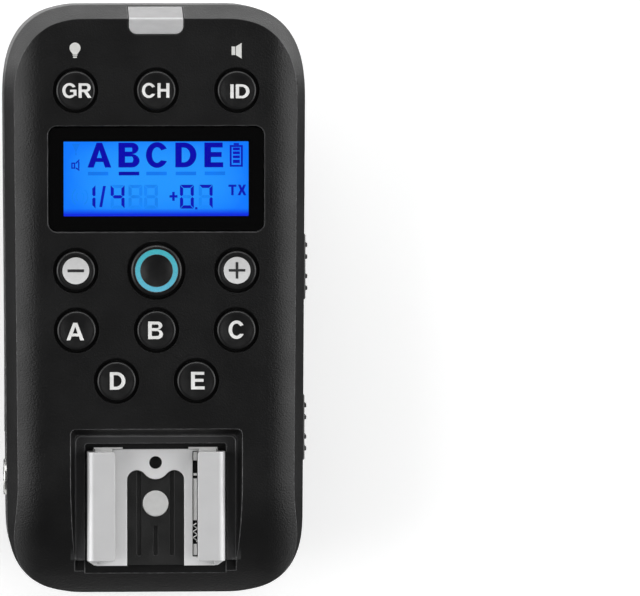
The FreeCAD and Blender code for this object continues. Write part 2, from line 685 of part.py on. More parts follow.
def shoe_plate():
    """A pressed metal channel whose lips hold a mating foot."""
    y0, y1 = SHOE_LIP_Y
    top = SHOE_TOP_Z
    section = [
        V(-SHOE_HALF, y0, SHOE_BASE_Z),
        V(SHOE_HALF, y0, SHOE_BASE_Z),
        V(SHOE_HALF, y0, top),
        V(SHOE_LIP_X, y0, top),
        V(SHOE_LIP_X, y0, top - SHOE_T),
        V(SHOE_HALF - SHOE_T, y0, top - SHOE_T),
        V(SHOE_HALF - SHOE_T, y0, SHOE_BASE_Z + SHOE_BASE_T),
        V(-SHOE_HALF + SHOE_T, y0, SHOE_BASE_Z + SHOE_BASE_T),
        V(-SHOE_HALF + SHOE_T, y0, top - SHOE_T),
        V(-SHOE_LIP_X, y0, top - SHOE_T),
        V(-SHOE_LIP_X, y0, top),
        V(-SHOE_HALF, y0, top),
    ]
    channel = polygon(section).extrude(V(0, y1 - y0, 0))
    bends = []
    for e in channel.Edges:
        b = e.BoundBox
        if b.YLength > 5 and abs(abs(b.Center.x) - SHOE_HALF) < 0.01:
            bends.append(e)
    channel = channel.makeFillet(SHOE_BEND_R, bends)
    corners = []
    for e in channel.Edges:
        b = e.BoundBox
        if b.ZLength > SHOE_T - 0.05 and abs(abs(b.Center.x) - SHOE_LIP_X) < 0.01:
            corners.append(e)
    channel = channel.makeFillet(SHOE_LIP_R, corners)
    y_low, y_high = SHOE_BASE_Y
    half = SHOE_HALF - 0.95
    base = polygon([V(-half, y_high, SHOE_BASE_Z), V(-half, y_low + 0.9, SHOE_BASE_Z),
                    V(-half + 0.5, y_low, SHOE_BASE_Z), V(half - 0.5, y_low, SHOE_BASE_Z),
                    V(half, y_low + 0.9, SHOE_BASE_Z), V(half, y_high, SHOE_BASE_Z)])
    gusset = polygon([V(8.9, -8.3, SHOE_BASE_Z), V(8.9, -9.3, SHOE_BASE_Z), V(9.4, -9.3, SHOE_BASE_Z),
                      V(SHOE_HALF - 0.05, -8.6, SHOE_BASE_Z), V(SHOE_HALF - 0.05, -8.3, SHOE_BASE_Z)])
    gusset = both_sides(gusset.extrude(V(0, 0, GUSSET_H)))
    solid = channel.multiFuse([base.extrude(V(0, 0, SHOE_BASE_T)), gusset])
    cuts = [shoe_cut_out(0, SHOE_BASE_Z - 1, SHOE_BASE_Z + SHOE_BASE_T + 0.5)]
    cuts.append(cyl(LOCK_HOLE_R, 20, 40, 0, LOCK_Y))
    cuts.append(box(SLIT[0], SLIT[1], SLIT[2], SLIT[3], 20, 31))
    for sx in (-1, 1):
        for sy in (-1, 1):
            x, y = sx * SHOE_SCREW[0], sy * SHOE_SCREW[1]
            cone = Part.makeCone(0.85, 1.55, 0.9, V(x, y, SHOE_BASE_Z + SHOE_BASE_T - 0.9))
            cuts.append(cone)
            cuts.append(cyl(0.85, 20, 29.5, x, y))
    return solid.cut(cuts).removeSplitter()


def shoe_spring(side):
    """A leaf on the shoe's base, hooked over the base's far end."""
    z = SHOE_BASE_Z + SHOE_BASE_T + 0.02
    end = SHOE_BASE_Y[1]
    leaf = box(6.6, 9.2, -6.8, end + 0.3, z, z + 0.22)
    hook = box(5.0, 9.4, end + 0.05, end + 0.3, SHOE_BASE_Z + 0.1, z + 0.22)
    solid = leaf.fuse(hook).removeSplitter()
    return solid if side > 0 else mirrored(solid)


def shoe_leaf():
    """The stretches of the right-hand leaf that show in the slit, dipping between them."""
    x0, x1 = SLIT[0] + 0.12, SLIT[1] - 0.12
    z = SHOE_BASE_Z + 0.02
    floor = box(x0, x1, SLIT[2] + 0.1, SLIT[3] - 0.1, z, z + 0.2)
    pads = []
    for y0, y1 in ((-7.9, -6.2), (-2.6, 3.8), (4.2, 4.6)):
        pad = box(x0, x1, y0, y1, z, z + 0.8)
        ends = [e for e in pad.Edges if e.BoundBox.XLength > 0.3 and e.BoundBox.ZMin > z + 0.7]
        pads.append(pad.makeFillet(0.15, ends))
    return join(floor, *pads)


def shoe_insulator():
    """The black plastic block round the centre contact, with guide grooves."""
    z0 = SHOE_BASE_Z
    solid = shoe_cut_out(0.1, z0, z0 + 0.75)
    cuts = [cyl(CONTACT_R + 0.05, 20, 40)]
    for x, low, high in ((-2.85, -8.0, 6.0), (2.15, -8.0, 6.0), (-0.35, -8.0, -3.4)):
        groove = box(x, x + 0.7, low, high, z0 + 0.4, 40)
        ends = [e for e in groove.Edges if e.BoundBox.ZLength > 1 and e.BoundBox.YMax < low + 0.1]
        cuts.append(groove.makeFillet(0.34, ends))
    return solid.cut(cuts).removeSplitter()


def center_contact():
    disc = rim(cyl(CONTACT_R, SHOE_BASE_Z + 0.05, SHOE_BASE_Z + SHOE_BASE_T - 0.05), 0.15, 29.8)
    return disc.fuse(cyl(0.8, PCB_Z[1] + 0.02, SHOE_BASE_Z + 0.1)).removeSplitter()


def shoe_screws():
    parts = []
    top = SHOE_BASE_Z + SHOE_BASE_T
    for sx in (-1, 1):
        for sy in (-1, 1):
            x, y = sx * SHOE_SCREW[0], sy * SHOE_SCREW[1]
            head = Part.makeCone(0.8, 1.5, 0.85, V(x, y, top - 0.87))
            parts.append(head.fuse(cyl(0.8, 27.4, top - 0.87, x, y)))
    return Part.makeCompound(parts)


# ---- Foot and lock ring -----------------------------------------------------------------
def foot_holes():
    """The holes shared by the foot plate and the stem: contact pin, lock pin, screws."""
    cuts = [cyl(CONTACT_PIN_R + 0.06, -5, 2.6), cyl(PIN_R + 0.06, -5, 6.6, 0, LOCK_Y)]
    for x, y in FOOT_SCREWS:
        cuts.append(cyl(0.95, -5, 6.0, x, y))
    return cuts


def foot_plate():
    solid = rounded_prism(FOOT_W, FOOT_L, 1.0, 0.0, FOOT_T)
    solid = solid.makeChamfer(0.25, [e for e in solid.Edges if abs(e.BoundBox.ZMax) < 0.01])
    cuts = foot_holes()
    for x, y in FOOT_SCREWS:
        cuts.append(Part.makeCone(1.85, 0.95, 1.1, V(x, y, 0)))
    return solid.cut(cuts)


def foot_screws():
    parts = []
    for x, y in FOOT_SCREWS:
        head = Part.makeCone(1.75, 0.9, 1.05, V(x, y, 0.05))
        cross = box(x - 1.0, x + 1.0, y - 0.2, y + 0.2, -1, 0.55)
        cross = cross.fuse(box(x - 0.2, x + 0.2, y - 1.0, y + 1.0, -1, 0.55))
        parts.append(head.cut(cross).fuse(cyl(0.9, 1.1, 5.8, x, y)))
    return Part.makeCompound(parts)


def foot_stem():
    """The neck and threaded stem that carry the foot plate, flanged inside the housing."""
    neck = rounded_prism(NECK_W, NECK_L, NECK_R, FOOT_T, 4.6)
    stem = cyl(STEM_R, 4.4, Z_BACK + FLOOR)
    flange = cyl(STEM_FLANGE_R, Z_BACK + FLOOR, Z_BACK + FLOOR + 1.5)
    flange = flange.common(lower_block(WALL + 0.05, Z_BACK + FLOOR))
    solid = join(neck, stem, flange)
    cuts = foot_holes()
    cuts.append(cyl(2.0, 2.6, 13))
    return solid.cut(cuts).removeSplitter()


def contact_pin():
    tip = rim(cyl(CONTACT_PIN_R, -0.7, 2.7), 0.6, -0.7)
    return join(tip, cyl(1.8, 2.7, 3.4), cyl(0.7, 3.4, 5.0))


def contact_pin_spring():
    """The spring over the contact pin, drawn at its pressed length."""
    return stacked_coil([(1.35, 5.95 + 0.6 * i) for i in range(5)], 0.22)


def contact_plug():
    """The cap that backs the spring inside the stem."""
    plug = cyl(1.95, 9.2, Z_BACK + FLOOR + 1.4)
    return plug.fuse(cyl(0.5, Z_BACK + FLOOR + 1.4, Z_BACK + FLOOR + 3.0)).removeSplitter()


def lock_pin():
    return rim(cyl(PIN_R, 0.1, 6.5, 0, LOCK_Y), 0.3, 0.1)


def lock_washer():
    disc = cyl(11.8, WASHER_Z[0], WASHER_Z[1])
    disc = rim(disc, 0.2, WASHER_Z[0])
    return disc.cut(cyl(STEM_R + 0.1, 0, 10))


def lock_ring():
    """A knurled ring that runs on the stem's thread."""
    z0, z1 = RING_Z
    ring = cyl(RING_OUT_R, z0, z1).cut(cyl(STEM_R + 0.08, 0, 20))
    outer = [e for e in ring.Edges if e.BoundBox.XLength > 2 * RING_OUT_R - 0.1]
    ring = ring.makeFillet(0.4, outer)
    cuts = []
    for i in range(40):
        a = 2 * math.pi * i / 40
        x = (RING_OUT_R + 0.12) * math.cos(a)
        y = (RING_OUT_R + 0.12) * math.sin(a)
        cuts.append(cyl(0.45, z0 - 1, z1 + 1, x, y))
    return ring.cut(cuts)


# ---- Batteries --------------------------------------------------------------------------
def cell(side):
    """An AAA cell; side -1 has its button end towards the front."""
    x = side * CELL_X
    body = cyl_y(CELL_R, 0, 43.5, 0, 0)
    ends = [e for e in body.Edges if e.BoundBox.YLength < 0.01]
    body = body.makeFillet(0.5, ends)
    solid = body.fuse(cyl_y(1.9, 43.4, 44.5, 0, 0))
    if side > 0:
        solid.rotate(V(0, 0, 0), V(0, 0, 1), 180)
        solid.translate(V(x, BAY_Y[0] + 0.55 + 44.5, CELL_Z))
    else:
        solid.translate(V(x, BAY_Y[1] - 0.55 - 44.5, CELL_Z))
    return solid.removeSplitter()


def contact_spring(side):
    """A conical spring against the flat end of a cell."""
    spring = stacked_coil([(3.6 - 0.35 * i, 0.35 + 0.8 * i) for i in range(5)], 0.33)
    spring.rotate(V(0, 0, 0), V(1, 0, 0), -90)
    if side > 0:
        spring.rotate(V(0, 0, 0), V(0, 0, 1), 180)
        spring.translate(V(CELL_X, BAY_Y[1] - 0.55, CELL_Z))
    else:
        spring.translate(V(-CELL_X, BAY_Y[0] + 0.55, CELL_Z))
    return spring


def contact_front():
    """The plate that joins both cells at the front end."""
    y = BAY_Y[1] - 0.1
    return sym_box(10.4, y - 0.42, y, 11.4, 20.6)


def contact_rear(side):
    y = BAY_Y[0] + 0.1
    x = side * CELL_X
    plate = box(x - 4.6, x + 4.6, y, y + 0.42, 11.4, 20.6)
    return plate


# ---- Side wall fittings -----------------------------------------------------------------
def shutter_x(y):
    """Outer face of a slide switch's shutter, just inside the tapering wall."""
    return half_width(y - 11.2) - WALL - 0.08


def slide_knob(y):
    """A slide switch's ridged knob, with a shutter inside the wall and a tongue."""
    x_in = shutter_x(y)
    x_out = half_width(y) + KNOB_PROUD
    dy, dz = KNOB_HALF
    pad = box(x_in - 0.1, x_out, y - dy, y + dy, SWITCH_Z - dz, SWITCH_Z + dz)
    outer = [e for e in pad.Edges if abs(e.BoundBox.XMin - x_out) < 0.01]
    pad = pad.makeFillet(0.25, outer)
    parts = [box(x_in - 0.3, x_in, y - 9.1, y + 9.1, SWITCH_Z - 2.4, SWITCH_Z + 2.4)]
    parts.append(box(x_in - 1.6, x_in - 0.2, y - 0.9, y + 0.9, SWITCH_Z - 0.6, SWITCH_Z + 0.6))
    for off in NUB_OFFSETS:
        nub = box(x_out - 0.5, x_out + NUB_PROUD, y + off - 0.33, y + off + 0.33,
                  SWITCH_Z - dz + 0.35, SWITCH_Z + dz - 0.35)
        edges = [e for e in nub.Edges if abs(e.BoundBox.XMin - x_out - NUB_PROUD) < 0.01]
        parts.append(nub.makeFillet(0.15, edges))
    return join(pad, *parts)


def slide_body(y):
    """The slide switch soldered under the edge of the board."""
    x = shutter_x(y) - 0.4
    body = box(x - 5.0, x, y - 4.6, y + 4.6, 22.2, PCB_Z[0] - 0.05)
    return body.cut(box(x - 1.4, x + 1, y - 3.1, y + 3.1, SWITCH_Z - 0.8, SWITCH_Z + 0.8))


def sync_jack():
    x = -half_width(JACK_Y)
    body = box(x + 1.9, x + 13.2, JACK_Y - 3.0, JACK_Y + 3.0, JACK_Z - 3.0, JACK_Z + 3.0)
    nose = cyl_x(1.9, x + 0.1, x + 2.0, JACK_Y, JACK_Z)
    solid = join(body, nose)
    return solid.cut(cyl_x(JACK_R, x - 1, x + 0.1 + JACK_DEPTH, JACK_Y, JACK_Z))


def jack_ring():
    x = -half_width(JACK_Y)
    ring = cyl_x(2.78, x - 0.42, x + 1.8, JACK_Y, JACK_Z).cut(cyl_x(1.95, x - 2, x + 3, JACK_Y, JACK_Z))
    outer = [e for e in ring.Edges if abs(e.BoundBox.XMax - x + 0.42) < 0.01 and e.BoundBox.YLength > 5]
    return ring.makeFillet(0.2, outer)


def usb_port():
    x = -half_width(USB_Y)
    shell = box(x + 0.3, x + 6.2, USB_Y - 3.7, USB_Y + 3.7, USB_Z - 1.4, USB_Z + 1.4)
    long_edges = [e for e in shell.Edges if e.BoundBox.XLength > 5]
    shell = shell.makeFillet(0.6, long_edges)
    inner = box(x, x + 5.7, USB_Y - 3.4, USB_Y + 3.4, USB_Z - 1.1, USB_Z + 1.1)
    tongue = box(x + 1.2, x + 6.0, USB_Y - 2.0, USB_Y + 2.0, USB_Z + 0.2, USB_Z + 0.75)
    return shell.cut(inner).fuse(tongue).removeSplitter()


# ---- Output -----------------------------------------------------------------------------
def parts():
    built = {
        "top_cover": top_cover(),
        "bottom_cover": bottom_cover(),
        "battery_door": battery_door(),
        "status_lens": status_lens(),
        "display_window": display_window(),
        "window_mask": window_mask(),
        "lcd_panel": lcd_panel(),
        "lcd_backlight": lcd_backlight(),
        "zebra_strip": zebra_strip(),
        "test_button": test_button(),
        "test_button_ring": test_button_ring(),
        "keypad_membrane": keypad_membrane(),
        "tact_switches": tact_switches(),
        "shutter_switch": shutter_switch(),
        "main_pcb": main_pcb(),
        "chips": chips(),
        "crystal": crystal(),
        "rf_module": rf_module(),
        "antenna": antenna(),
        "buzzer": buzzer(),
        "status_led": status_led(),
        "pcb_screws": pcb_screws(),
        "case_screws": case_screws(),
        "shoe_plate": shoe_plate(),
        "shoe_springs": Part.makeCompound([shoe_spring(-1), shoe_spring(1), shoe_leaf()]),
        "shoe_insulator": shoe_insulator(),
        "center_contact": center_contact(),
        "shoe_screws": shoe_screws(),
        "foot_plate": foot_plate(),
        "foot_screws": foot_screws(),
        "foot_stem": foot_stem(),
        "contact_pin": contact_pin(),
        "contact_pin_spring": contact_pin_spring(),
        "contact_plug": contact_plug(),
        "lock_pin": lock_pin(),
        "lock_washer": lock_washer(),
        "lock_ring": lock_ring(),
        "battery_left": cell(-1),
        "battery_right": cell(1),
        "contact_springs": Part.makeCompound([contact_spring(-1), contact_spring(1)]),
        "contact_front": contact_front(),
        "contact_rear": Part.makeCompound([contact_rear(-1), contact_rear(1)]),
        "power_switch_body": slide_body(SWITCH_Y["power_switch_knob"]),
        "mode_switch_body": slide_body(SWITCH_Y["mode_switch_knob"]),
        "sync_jack": sync_jack(),
        "jack_ring": jack_ring(),
        "usb_port": usb_port(),
    }
    for name, (x, y) in KEYS.items():
        built[name] = key(x, y)
    for name, y in SWITCH_Y.items():
        built[name] = slide_knob(y)
    return built


def main():
    os.makedirs("parts", exist_ok=True)
    for name, shape in parts().items():
        shape.exportStep("parts/" + name + ".step")


if __name__ == "__main__":
    main()
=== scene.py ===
"""Wireless flash trigger: the looks built round the fixed CAD frame.

The frame has +Z out of the control face and +Y towards the status lens. All lengths
below are millimetres and are turned into metres by MM.
"""
import math

import bmesh
import bpy
from mathutils import Matrix, Vector


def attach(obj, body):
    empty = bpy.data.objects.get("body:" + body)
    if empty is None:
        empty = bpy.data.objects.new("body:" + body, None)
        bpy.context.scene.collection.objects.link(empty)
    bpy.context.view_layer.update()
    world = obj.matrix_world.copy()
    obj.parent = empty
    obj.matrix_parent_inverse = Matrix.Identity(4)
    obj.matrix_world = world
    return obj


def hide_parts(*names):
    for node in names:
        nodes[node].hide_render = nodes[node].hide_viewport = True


MM = 0.001

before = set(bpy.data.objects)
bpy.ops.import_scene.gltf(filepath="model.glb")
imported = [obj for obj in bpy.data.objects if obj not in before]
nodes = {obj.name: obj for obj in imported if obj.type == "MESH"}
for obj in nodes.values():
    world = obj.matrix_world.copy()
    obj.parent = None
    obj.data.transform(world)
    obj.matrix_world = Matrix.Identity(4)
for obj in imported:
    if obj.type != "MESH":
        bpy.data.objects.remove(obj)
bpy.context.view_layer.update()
scene = bpy.context.scene

# ---- Levels and places, as the CAD has them ----------------------------------------------
Z_TOP = 33.5
KEY_TOP = 34.0
WINDOW_Y = 49.5
TEST_Y = 35.65
LCD_TOP = 31.6
LEDGE_Z = 30.3          # ledge round the shoe
RECESS_TOP = (13.0, 11.5)
STEP_Y = -8.5           # rear end of the ledge
SHOE_LIP_Z = 31.0       # the shoe's lips are above this, its base below
# below this height the leaf is painted near black as painted shade in the slit
LEAF_Z = 29.3           # the leaf dips below this in the slit
BAY = (17.0, 66.6)      # battery bay, from the shoe's end to the lens end
CELL_X = 5.75
CELL_Z = 15.85
CELL_R = 5.25
ACTIVE = (28.0, 11.3)   # lit area of the display
KEY_PLACES = {
    "key_gr": (-12.2, 62.9),
    "key_ch": (0.0, 62.9),
    "key_id": (12.2, 62.9),
    "key_minus": (-12.2, 35.65),
    "key_plus": (12.2, 35.65),
    "key_a": (-12.1, 26.6),
    "key_b": (0.0, 26.6),
    "key_c": (12.1, 26.6),
    "key_d": (-6.05, 18.9),
    "key_e": (6.05, 18.9),
}


# ---- Materials ---------------------------------------------------------------------------
def new_material(name):
    """An empty node material with one principled shader."""
    mat = bpy.data.materials.new(name)
    mat.use_nodes = True
    tree = mat.node_tree
    tree.nodes.clear()
    out = tree.nodes.new("ShaderNodeOutputMaterial")
    shader = tree.nodes.new("ShaderNodeBsdfPrincipled")
    tree.links.new(shader.outputs[0], out.inputs[0])
    return mat, tree, shader


def noise(tree, scale, detail=3.0, stretch=(1, 1, 1), rough=0.5):
    """Noise in the part's own space; scale is features per metre."""
    coord = tree.nodes.new("ShaderNodeTexCoord")
    mapping = tree.nodes.new("ShaderNodeMapping")
    mapping.inputs["Scale"].default_value = stretch
    node = tree.nodes.new("ShaderNodeTexNoise")
    node.inputs["Scale"].default_value = scale
    node.inputs["Detail"].default_value = detail
    node.inputs["Roughness"].default_value = rough
    tree.links.new(coord.outputs["Object"], mapping.inputs["Vector"])
    tree.links.new(mapping.outputs["Vector"], node.inputs["Vector"])
    return node.outputs["Fac"]


def remap(tree, value, low, high, a=0.35, b=0.65):
    """Maps value from a..b to low..high, clamped."""
    node = tree.nodes.new("ShaderNodeMapRange")
    node.inputs["From Min"].default_value = a
    node.inputs["From Max"].default_value = b
    node.inputs["To Min"].default_value = low
    node.inputs["To Max"].default_value = high
    tree.links.new(value, node.inputs["Value"])
    return node.outputs["Result"]


def mix(tree, factor, first, second):
    """Mixes two colours, each given as a socket or as numbers."""
    node = tree.nodes.new("ShaderNodeMix")
    node.data_type = "RGBA"
    for socket, value in ((0, factor), (6, first), (7, second)):
        if hasattr(value, "default_value"):
            tree.links.new(value, node.inputs[socket])
        elif isinstance(value, (int, float)):
            node.inputs[socket].default_value = value
        else:
            node.inputs[socket].default_value = (*value, 1.0)
    return node.outputs[2]


def math_node(tree, operation, first, second):
    """One math node; each value is a socket or a number."""
    node = tree.nodes.new("ShaderNodeMath")
    node.operation = operation
    for socket, value in zip(node.inputs, (first, second)):
        if hasattr(value, "default_value"):
            tree.links.new(value, socket)
        else:
            socket.default_value = value
    return node.outputs[0]


def place_axis(tree, axis):
    """A coordinate of the shaded point in the frame."""
    coord = tree.nodes.new("ShaderNodeTexCoord")
    split = tree.nodes.new("ShaderNodeSeparateXYZ")
    tree.links.new(coord.outputs["Object"], split.inputs[0])
    return split.outputs[axis]


def edge_factor(tree, radius, full=0.86):
    """One on sharp outer edges within the radius, zero on flat ground.

    full is the cosine of the turn of the rounded normal at which the factor reaches one.
    """
    bevel = tree.nodes.new("ShaderNodeBevel")
    bevel.samples = 4
    bevel.inputs["Radius"].default_value = radius
    geo = tree.nodes.new("ShaderNodeNewGeometry")
    dot = tree.nodes.new("ShaderNodeVectorMath")
    dot.operation = "DOT_PRODUCT"
    tree.links.new(bevel.outputs["Normal"], dot.inputs[0])
    tree.links.new(geo.outputs["Normal"], dot.inputs[1])
    return remap(tree, dot.outputs["Value"], 1.0, 0.0, full, 0.995)


def surface(name, color, dark=None, rough=(0.4, 0.5), metal=0.0, grain=(4000, 0.00002), blotch=180,
            wear_and_highlight=None, wear_and_highlight_radius=0.00018, bevel=0.0, stretch=(1, 1, 1), blotch_stretch=(1, 1, 1), low=None,
            painted_shade_reach=0.0, worn_and_highlighted_where=None, wear_and_highlight_turn=0.86, painted_light=None, **sockets):
    """A shader with blotchy colour, uneven roughness, fine grain and lightened edges, which are worn edges
    and on some parts a painted highlight.

    low, when given, is (height, colour): the colour below that height in mm; the shoe uses it for painted
    light and the leaf in the slit for painted shade.
    crevice is the reach in metres of the painted shade in inner corners, 0 for none.
    worn_and_highlighted_where, when given, makes the socket that says where the edges are lightened with the
    painted highlight.
    wear_and_highlight_turn is the full value of edge_factor.
    paler, when given, is (function that makes the socket of where, colour there): painted light, a lighter
    colour on a shaded place.
    """
    mat, tree, shader = new_material(name)
    dark = dark or tuple(c * 0.75 for c in color)
    cloud = noise(tree, blotch, 4.0, blotch_stretch)
    tint = mix(tree, remap(tree, cloud, 0.0, 1.0), dark, color)
    if low:
        soft = 0.05
        above = remap(tree, place_axis(tree, "Z"), 0.0, 1.0, (low[0] - soft) * MM, (low[0] + soft) * MM)
        tint = mix(tree, above, low[1], tint)
    # painted light: a lighter colour where the mask is one
    if painted_light:
        tint = mix(tree, painted_light[0](tree), tint, painted_light[1])
    # painted highlight with worn edges: the edges are lightened towards the given colour
    if wear_and_highlight:
        patchy = remap(tree, noise(tree, 900, 3.0), 0.25, 0.9)
        worn_and_highlighted = math_node(tree, "MULTIPLY", edge_factor(tree, wear_and_highlight_radius, wear_and_highlight_turn), patchy)
        if worn_and_highlighted_where:
            worn_and_highlighted = math_node(tree, "MULTIPLY", worn_and_highlighted, worn_and_highlighted_where(tree))
        tint = mix(tree, worn_and_highlighted, tint, wear_and_highlight)
    # painted shade: inner corners darken towards grey where the occlusion node finds surfaces nearby
    if painted_shade_reach:
        shade = tree.nodes.new("ShaderNodeAmbientOcclusion")
        shade.samples = 8
        shade.inputs["Distance"].default_value = painted_shade_reach
        open_sky = remap(tree, shade.outputs["AO"], 0.0, 1.0, 0.4, 0.9)
        tint = mix(tree, open_sky, (0.42, 0.42, 0.42), tint)
    tree.links.new(tint, shader.inputs["Base Color"])
    fine = noise(tree, grain[0], 2.0, stretch)
    tree.links.new(remap(tree, noise(tree, blotch * 2.3, 5.0, blotch_stretch), rough[0], rough[1]),
                   shader.inputs["Roughness"])
    shader.inputs["Metallic"].default_value = metal
    bump = tree.nodes.new("ShaderNodeBump")
    bump.inputs["Strength"].default_value = 1.0
    bump.inputs["Distance"].default_value = grain[1]
    tree.links.new(fine, bump.inputs["Height"])
    if bevel:
        node = tree.nodes.new("ShaderNodeBevel")
        node.samples = 6
        node.inputs["Radius"].default_value = bevel
        tree.links.new(node.outputs["Normal"], bump.inputs["Normal"])
    tree.links.new(bump.outputs["Normal"], shader.inputs["Normal"])
    for key, value in sockets.items():
        shader.inputs[key].default_value = value
    return mat


def plain_glow(name, color, strength):
    """A lit face with a slow change of brightness across it."""
    mat, tree, shader = new_material(name)
    shader.inputs["Base Color"].default_value = (0.0, 0.0, 0.002, 1.0)
    shader.inputs["Specular IOR Level"].default_value = 0.0
    tree.links.new(remap(tree, noise(tree, 900, 2.0), 0.45, 0.6), shader.inputs["Roughness"])
    tint = mix(tree, remap(tree, noise(tree, 260, 3.0), 0.0, 1.0), tuple(c * 0.85 for c in color), color)
    tree.links.new(tint, shader.inputs["Emission Color"])
    shader.inputs["Emission Strength"].default_value = strength
    return mat


def highlighted_edges(tree):
    """One on the edges that get the painted highlight: the crest, the shoe's recess and the window, but not
    the key holes.
    """
    crest = remap(tree, place_axis(tree, "Z"), 1.0, 0.0, (Z_TOP - 0.4) * MM, (Z_TOP - 0.2) * MM)
    past_recess = RECESS_TOP[1] + 1.1
    shoe_end = remap(tree, place_axis(tree, "Y"), 1.0, 0.0, past_recess * MM, (past_recess + 0.4) * MM)
    offset = math_node(tree, "SUBTRACT", place_axis(tree, "Y"), WINDOW_Y * MM)
    from_window = math_node(tree, "ABSOLUTE", offset, 0.0)
    window = remap(tree, from_window, 0.6, 0.0, 9.2 * MM, 9.6 * MM)
    return math_node(tree, "MAXIMUM", crest, math_node(tree, "MAXIMUM", shoe_end, window))


def ledge_painted_light_mask(tree):
    """One on the ledge round the shoe, where a lighter colour is painted as painted light against its shade.
    """
    sideways = math_node(tree, "ABSOLUTE", place_axis(tree, "X"), 0.0)
    half, far = RECESS_TOP
    inside_x = remap(tree, sideways, 1.0, 0.0, (half - 0.1) * MM, half * MM)
    inside_y = remap(tree, place_axis(tree, "Y"), 1.0, 0.0, (far - 0.2) * MM, (far - 0.1) * MM)
    above = remap(tree, place_axis(tree, "Z"), 0.0, 1.0, (LEDGE_Z - 1.5) * MM, (LEDGE_Z - 1.3) * MM)
    below = remap(tree, place_axis(tree, "Z"), 1.0, 0.0, (LEDGE_Z + 0.1) * MM, (LEDGE_Z + 0.9) * MM)
    past_step = remap(tree, place_axis(tree, "Y"), 0.0, 1.0, (STEP_Y - 0.1) * MM, (STEP_Y + 0.1) * MM)
    plan = math_node(tree, "MULTIPLY", inside_x, math_node(tree, "MULTIPLY", inside_y, past_step))
    return math_node(tree, "MULTIPLY", plan, math_node(tree, "MULTIPLY", above, below))


# The housing's lightened edges are a painted highlight with some worn edges, and the ledge round the shoe is
# painted lighter as painted light.
HOUSING = surface("housing_plastic", (0.0062, 0.0062, 0.0064), rough=(0.36, 0.44),
                  grain=(3800, 0.00006), blotch=70, wear_and_highlight=(0.24, 0.24, 0.245), wear_and_highlight_radius=0.0002,
                  bevel=0.0002, worn_and_highlighted_where=highlighted_edges,
                  wear_and_highlight_turn=0.94, painted_light=(ledge_painted_light_mask, (0.042, 0.042, 0.043)),
                  **{"Specular IOR Level": 0.3})
# A pale grey for the bead, a painted highlight along the foot of the shoe recess.
BEAD_HIGHLIGHT = surface("bead_painted_highlight", (0.15, 0.15, 0.152), (0.11, 0.11, 0.112), rough=(0.3, 0.4),
               grain=(3800, 0.00002), blotch=400)
# The keycaps' lightened rims are a painted highlight with some worn edges.
KEYCAP = surface("key_plastic", (0.0055, 0.0055, 0.0058), rough=(0.3, 0.38),
                 grain=(7000, 0.00001), blotch=300, wear_and_highlight=(0.22, 0.22, 0.22),
                 wear_and_highlight_radius=0.00013, bevel=0.00012)
# The shoe's base, below the lips, is painted lighter as painted light against the shade under the lips; its
# inner corners get painted shade.
STEEL = surface("shoe_steel", (0.66, 0.66, 0.665), (0.64, 0.64, 0.645), rough=(0.5, 0.56), metal=0.4,
                grain=(5200, 0.000006), blotch=300, bevel=0.00016,
                low=(SHOE_LIP_Z, (0.98, 0.98, 0.985)), painted_shade_reach=0.003)
PLATE = surface("foot_steel", (0.72, 0.72, 0.725), (0.66, 0.66, 0.665), rough=(0.3, 0.42), metal=0.85,
                grain=(5200, 0.000006), blotch=300, bevel=0.00016, wear_and_highlight=(0.9, 0.9, 0.9))
# The leaf is painted near black where it dips into the slit, as painted shade.
LEAF = surface("leaf_in_slit", (0.98, 0.98, 0.97), (0.9, 0.9, 0.89), rough=(0.3, 0.4), metal=0.3,
               grain=(3000, 0.000004), blotch=500, bevel=0.00005, low=(LEAF_Z, (0.01, 0.01, 0.01)))
SPRING = surface("leaf_steel", (0.86, 0.86, 0.85), (0.8, 0.8, 0.79), rough=(0.3, 0.4), metal=0.6,
                 grain=(3000, 0.000004), blotch=500, bevel=0.00005)
CONTACT = surface("contact_plate", (0.84, 0.84, 0.83), (0.80, 0.80, 0.79), rough=(0.42, 0.5), metal=0.4,
                  grain=(6000, 0.000006), blotch=900, bevel=0.0001)
INSULATOR = surface("nylon", (0.012, 0.012, 0.012), rough=(0.4, 0.52), grain=(4200, 0.00002), blotch=200,
                    wear_and_highlight=(0.03, 0.03, 0.03), bevel=0.0001)
RUBBER = surface("silicone", (0.02, 0.02, 0.02), rough=(0.6, 0.75), grain=(3500, 0.00003), blotch=150)
BOARD = surface("solder_mask", (0.012, 0.11, 0.045), (0.008, 0.07, 0.03), rough=(0.3, 0.42),
                grain=(2500, 0.00002), blotch=500, stretch=(1, 4, 1))
MOULDED = surface("moulded_part", (0.014, 0.014, 0.015), rough=(0.45, 0.6), grain=(5000, 0.00002), blotch=350)
TIN = surface("tin_plate", (0.78, 0.78, 0.76), rough=(0.18, 0.3), metal=1.0,
              grain=(2500, 0.000006), blotch=600, bevel=0.00006)
COPPER = surface("enamelled_wire", (0.72, 0.32, 0.16), rough=(0.2, 0.3), metal=1.0, grain=(4000, 0.000005))
GOLD = surface("gilt_contact", (0.85, 0.62, 0.25), (0.75, 0.52, 0.2), rough=(0.2, 0.3), metal=1.0,
               grain=(5000, 0.000004), blotch=900)
SCREW = surface("black_screw", (0.10, 0.10, 0.105), (0.06, 0.06, 0.062), rough=(0.28, 0.42), metal=1.0,
                grain=(3500, 0.00001), blotch=700, wear_and_highlight=(0.35, 0.35, 0.35), bevel=0.00006)
WASHER = surface("anodised_washer", (0.03, 0.03, 0.032), rough=(0.3, 0.4), metal=0.9, grain=(5000, 0.00001),
                 blotch=300, wear_and_highlight=(0.2, 0.2, 0.2), bevel=0.0001)
RING = surface("knurled_ring", (0.011, 0.011, 0.0115), rough=(0.34, 0.44), grain=(4800, 0.00002), blotch=160,
               wear_and_highlight=(0.04, 0.04, 0.04), bevel=0.00012)
